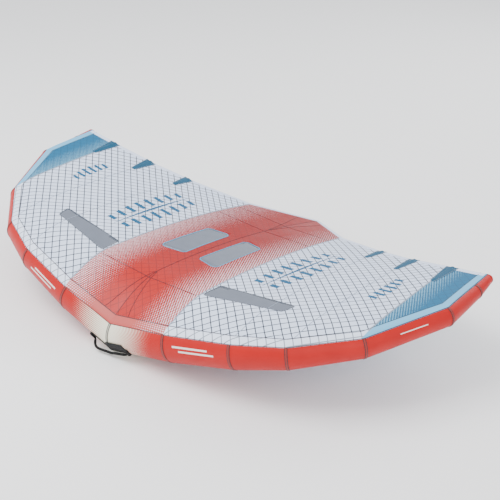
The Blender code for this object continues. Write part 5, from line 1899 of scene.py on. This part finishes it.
def run_tree(name, tree, keys, points, edges, values, outward=None):
    """Runs a tree on a set of lines and keeps the result as a plain mesh."""
    mesh = bpy.data.meshes.new(name)
    mesh.from_pydata([TO_GROUND @ Vector(p) for p in points], edges, [])
    if outward:
        turn = TO_GROUND.to_3x3()
        layer = mesh.attributes.new("outward", "FLOAT_VECTOR", "POINT")
        layer.data.foreach_set("vector", [v for o in outward for v in turn @ Vector(o)])
    made = show(bpy.data.objects.new(name, mesh))
    nodes = made.modifiers.new("Nodes", "NODES")
    nodes.node_group = tree
    for key, value in values.items():
        nodes[keys[key]] = value
    plain_result(made)
    return made


hose_tree, hose_keys = new_tree("ringed_hose", ("Radius", "Ring depth", "Ring pitch",
                                                "Cuff radius", "Cuff length"))
source = add_node(hose_tree, "NodeGroupInput")
line = add_node(hose_tree, "GeometryNodeMeshToCurve", {"Mesh": source.outputs["Geometry"]})
fine = add_node(hose_tree, "GeometryNodeResampleCurve", {"Curve": line,
                                                         "Length": 0.0012}, mode="LENGTH")
along = add_node(hose_tree, "GeometryNodeSplineParameter")
total = add_node(hose_tree, "GeometryNodeSplineLength")
phase = add_node(hose_tree, "Math", {0: along.outputs["Length"], 1: source.outputs["Ring pitch"]},
                 operation="DIVIDE")
turn = add_node(hose_tree, "Math", {0: phase, 1: 2 * math.pi}, operation="MULTIPLY")
wave = add_node(hose_tree, "Math", {0: turn}, operation="SINE")
depth = add_node(hose_tree, "Math", {0: wave, 1: source.outputs["Ring depth"]},
                 operation="MULTIPLY")
wavy = add_node(hose_tree, "Math", {0: source.outputs["Radius"], 1: depth}, operation="ADD")
left = add_node(hose_tree, "Math", {0: total, 1: along.outputs["Length"]}, operation="SUBTRACT")
end = add_node(hose_tree, "Math", {0: left, 1: along.outputs["Length"]}, operation="MINIMUM")
in_cuff = add_node(hose_tree, "MapRange", {
    "Value": end, "From Min": source.outputs["Cuff length"],
    "From Max": 0.0, "To Min": 0.0, "To Max": 1.0}, interpolation_type="SMOOTHSTEP")
radius = add_node(hose_tree, "Mix", {0: in_cuff, 2: wavy, 3: source.outputs["Cuff radius"]},
                  data_type="FLOAT")
circle = add_node(hose_tree, "GeometryNodeCurvePrimitiveCircle", {"Resolution": 28, "Radius": 1.0})
swept = add_node(hose_tree, "GeometryNodeCurveToMesh", {"Curve": fine, "Profile Curve": circle,
                                                        "Scale": radius, "Fill Caps": True})
close_tree(hose_tree, source, swept)
print("hose tree inputs", list(hose_keys))

# %% [markdown]
# ## The hose in its place
# The hose leaves the nose tube level and backwards, swings round and goes up into the strut's
# flank, on one smooth cubic curve. The clamp on it, its red lever and the leash loop are small
# moulded and sewn pieces: their solid shapes are right, so copies of them get rounded edges.

# %% Hose, clamp, lever and leash loop
HOSE_X, HOSE_STRUT_Y, HOSE_END_GAP = -0.160, 0.50, 0.0025
inward = Vector((1, 0, 1)).normalized()
hose_end = Vector((0, HOSE_STRUT_Y, canopy_height(0, HOSE_STRUT_Y) - STRUT_GAP
                   - straight(STRUT_RADII, HOSE_STRUT_Y, 1)))
hose_end -= inward * straight(STRUT_RADII, HOSE_STRUT_Y, 1)
a = on_nose(HOSE_X, LEVEL_BACK, HOSE_END_GAP)
b = a + LEVEL_BACK * 0.13
d = hose_end - inward * HOSE_END_GAP
c = d - inward * 0.10
hose_line = []
for k in range(61):
    t = k / 60
    s = 1 - t
    hose_line.append(s ** 3 * a + 3 * s * s * t * b + 3 * s * t * t * c + t ** 3 * d)
hose_length = path_length(hose_line)
hose = run_tree("silicone_air_hose", hose_tree, hose_keys, hose_line,
                [(k, k + 1) for k in range(60)],
                {"Radius": 0.0079, "Ring depth": 0.0004, "Ring pitch": 0.008,
                 "Cuff radius": 0.0150, "Cuff length": 0.010, "Material": SILICONE})
settle(hose, "wing", "hose_silicone", "air_hose")
clamp = softened_copy("moulded_hose_clamp", "hose_clamp_body", BLACK_NYLON, 0.0016)
settle(clamp, "wing", "valve_plastic", "hose_clamp_body")
lever = softened_copy("moulded_clamp_lever", "hose_clamp_lever", RED_NYLON, 0.0007)
settle(lever, "clamp_lever", "lever_red", "hose_clamp_lever")
leash = softened_copy("sewn_leash_loop", "leash_loop", BLACK_WEBBING, 0.0008)
leash_uv = leash.data.uv_layers.new(name="webbing")
for face in leash.data.polygons:
    for loop, vertex in zip(face.loop_indices, face.vertices):
        place = leash.data.vertices[vertex].co
        leash_uv.data[loop].uv = (place.z + place.y, place.x)
settle(leash, "wing", "webbing_black", "leash_loop")
print("hose length", round(hose_length, 4), "m")

# %% [markdown]
# ## Stitches by nodes
# Thousands of stitches hold the wing together, all alike, so they are the other job for Geometry
# Nodes. Each kept row becomes a curve, points are set along it at the stitch pitch, and a little
# twenty-faced grain of thread is put on each, lying along the row and facing away from the cloth.
# Real stitches are 4 mm long; these are 7 mm, so that they show. The same tree, given other
# numbers, sets the grip ribs round the valve's cap.

# %% Stitches and cap ribs
needle, needle_keys = new_tree("row_of_stitches", ("Pitch", "Length", "Width", "Height"))
source = add_node(needle, "NodeGroupInput")
line = add_node(needle, "GeometryNodeMeshToCurve", {"Mesh": source.outputs["Geometry"]})
spaced = add_node(needle, "GeometryNodeResampleCurve", {
    "Curve": line, "Length": source.outputs["Pitch"]}, mode="LENGTH")
grain = add_node(needle, "GeometryNodeMeshIcoSphere", {"Radius": 0.5, "Subdivisions": 1})
size = add_node(needle, "CombineXYZ", {0: source.outputs["Length"], 1: source.outputs["Width"],
                                       2: source.outputs["Height"]})
ahead = add_node(needle, "GeometryNodeInputTangent")
away = add_node(needle, "GeometryNodeInputNamedAttribute", {"Name": "outward"},
                data_type="FLOAT_VECTOR")
facing = add_node(needle, "FunctionNodeAxesToRotation", {
    0: ahead, 1: away.outputs["Attribute"]}, primary_axis="X", secondary_axis="Z")
laid = add_node(needle, "GeometryNodeInstanceOnPoints", {"Points": spaced, "Instance": grain,
                                                         "Rotation": facing, "Scale": size})
close_tree(needle, source, laid)
STITCH_SIZES = {"Pitch": 0.0105, "Length": 0.0072, "Width": 0.0017, "Height": 0.0012}


def rows_to_lines(rows):
    """Rows of points and outward directions as one set of points and edges."""
    points, edges, outs = [], [], []
    for row, directions in rows:
        edges += [(len(points) + k, len(points) + k + 1) for k in range(len(row) - 1)]
        points += row
        outs += directions
    return points, edges, outs


for kind, finish in (("dark", THREAD), ("pale", PALE_THREAD)):
    points, edges, outs = rows_to_lines(stitch_rows[kind])
    made = run_tree(f"stitches_{kind}", needle, needle_keys, points, edges,
                    {**STITCH_SIZES, "Material": finish}, outs)
    settle(made, "wing", "webbing_black" if kind == "dark" else "hem_white")
    print(kind, "stitches", len(made.data.polygons) // 20, "in", len(stitch_rows[kind]), "rows")

RIB_RADIUS, RIB_LIFT = 0.0169, 0.0013
rim, outs = [], []
for turn in turns(48) + [2 * math.pi]:
    spoke = Vector((math.cos(turn), math.sin(turn), 0))
    rim.append(valve_place @ (spoke * RIB_RADIUS + Vector((0, 0, cap_floor + RIB_LIFT))))
    outs.append(valve_place.to_3x3() @ spoke)
ribs = run_tree("cap_grip_ribs", needle, needle_keys, rim, [(k, k + 1) for k in range(48)],
                {"Pitch": 0.0034, "Length": 0.0012, "Width": 0.0022, "Height": 0.0012,
                 "Material": BLACK_NYLON}, outs)
settle(ribs, "valve_cap", "valve_plastic")
print("cap ribs", len(ribs.data.polygons) // 20)

# %% [markdown]
# ## The canopy's sheets on the wing
# The canopy's panels and windows are sheets cut flat and stretched between the tubes. Each rides
# on the wing in its solid piece's place, and each window's area is worked out from its film and
# printed. The bladders stay as they are in the solid model, in their own film.


def declare_window(size, word):
    """A window's area from its film."""
    film = canopy_sheets[size, word]
    area = sum(face.area for face in film.data.polygons) / 2
    return area


for side, word in SIDES:
    for place, (low, high), finish, slot in PANELS:
        piece = canopy_sheets[place, word]
        settle(piece, "wing", slot, f"canopy_{place}_{word}")
        widest, longest, area = sheet_facts[place, word]
    for size, place, corners, radius in WINDOWS:
        settle(canopy_sheets[size, word], "wing", "window_film", f"window_{size}_{word}")
        print("window", size, word, round(declare_window(size, word), 4), "square metres")
for node in ("le_bladder", "strut_bladder"):
    for material_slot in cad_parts[node].material_slots:
        material_slot.material = BLADDER_FILM

# %% [markdown]
# ## Floor and light
# A product is shot on pale ground under big soft lights. One large light stands high in front,
# a second fills from the side, and an even sky keeps the shadows open.

# %% Floor and light
floor_mesh = bpy.data.meshes.new("studio_floor")
floor_mesh.from_pydata([(-40, -40, -0.001), (40, -40, -0.001), (40, 40, -0.001),
                        (-40, 40, -0.001)], [], [(0, 1, 2, 3)])
studio_floor = show(bpy.data.objects.new("studio_floor", floor_mesh))
paper = start_material("studio_paper_matt", 0.9, {"Base Color": colour("#FDFDFD")})[0]
floor_mesh.materials.append(paper)
studio_floor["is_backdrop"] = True


def soft_light(name, place, target, size, power):
    """A square area light that looks at a point."""
    data = bpy.data.lights.new(name, "AREA")
    data.size = size
    data.energy = power
    made = show(bpy.data.objects.new(name, data))
    place, target = Vector(place), Vector(target)
    aim = (place - target).to_track_quat("Z", "Y").to_matrix().to_4x4()
    made.matrix_world = Matrix.Translation(place) @ aim


soft_light("key", (-3.0, -3.5, 6.5), (0, 0, 0.2), 5.0, 720)
soft_light("fill", (5.5, -3.0, 3.5), (0, 0, 0.2), 4.0, 150)
soft_light("back", (1.0, 6.5, 5.0), (0, 0, 0.2), 5.0, 280)
sky = bpy.data.worlds.new("studio_sky")
sky.use_nodes = True
set_inputs(sky.node_tree.nodes["Background"], {0: colour("#F2F4F8"), 1: 1.2})
bpy.context.scene.world = sky

# %% [markdown]
# ## The wing's size
# The box round every shown piece of the wing, without the floor, is printed. The finished
# wing has to fit the solid one's box.

# %% Sizes and finish
low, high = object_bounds()
print("visual box", [round(v, 4) for v in (*low, *high)])
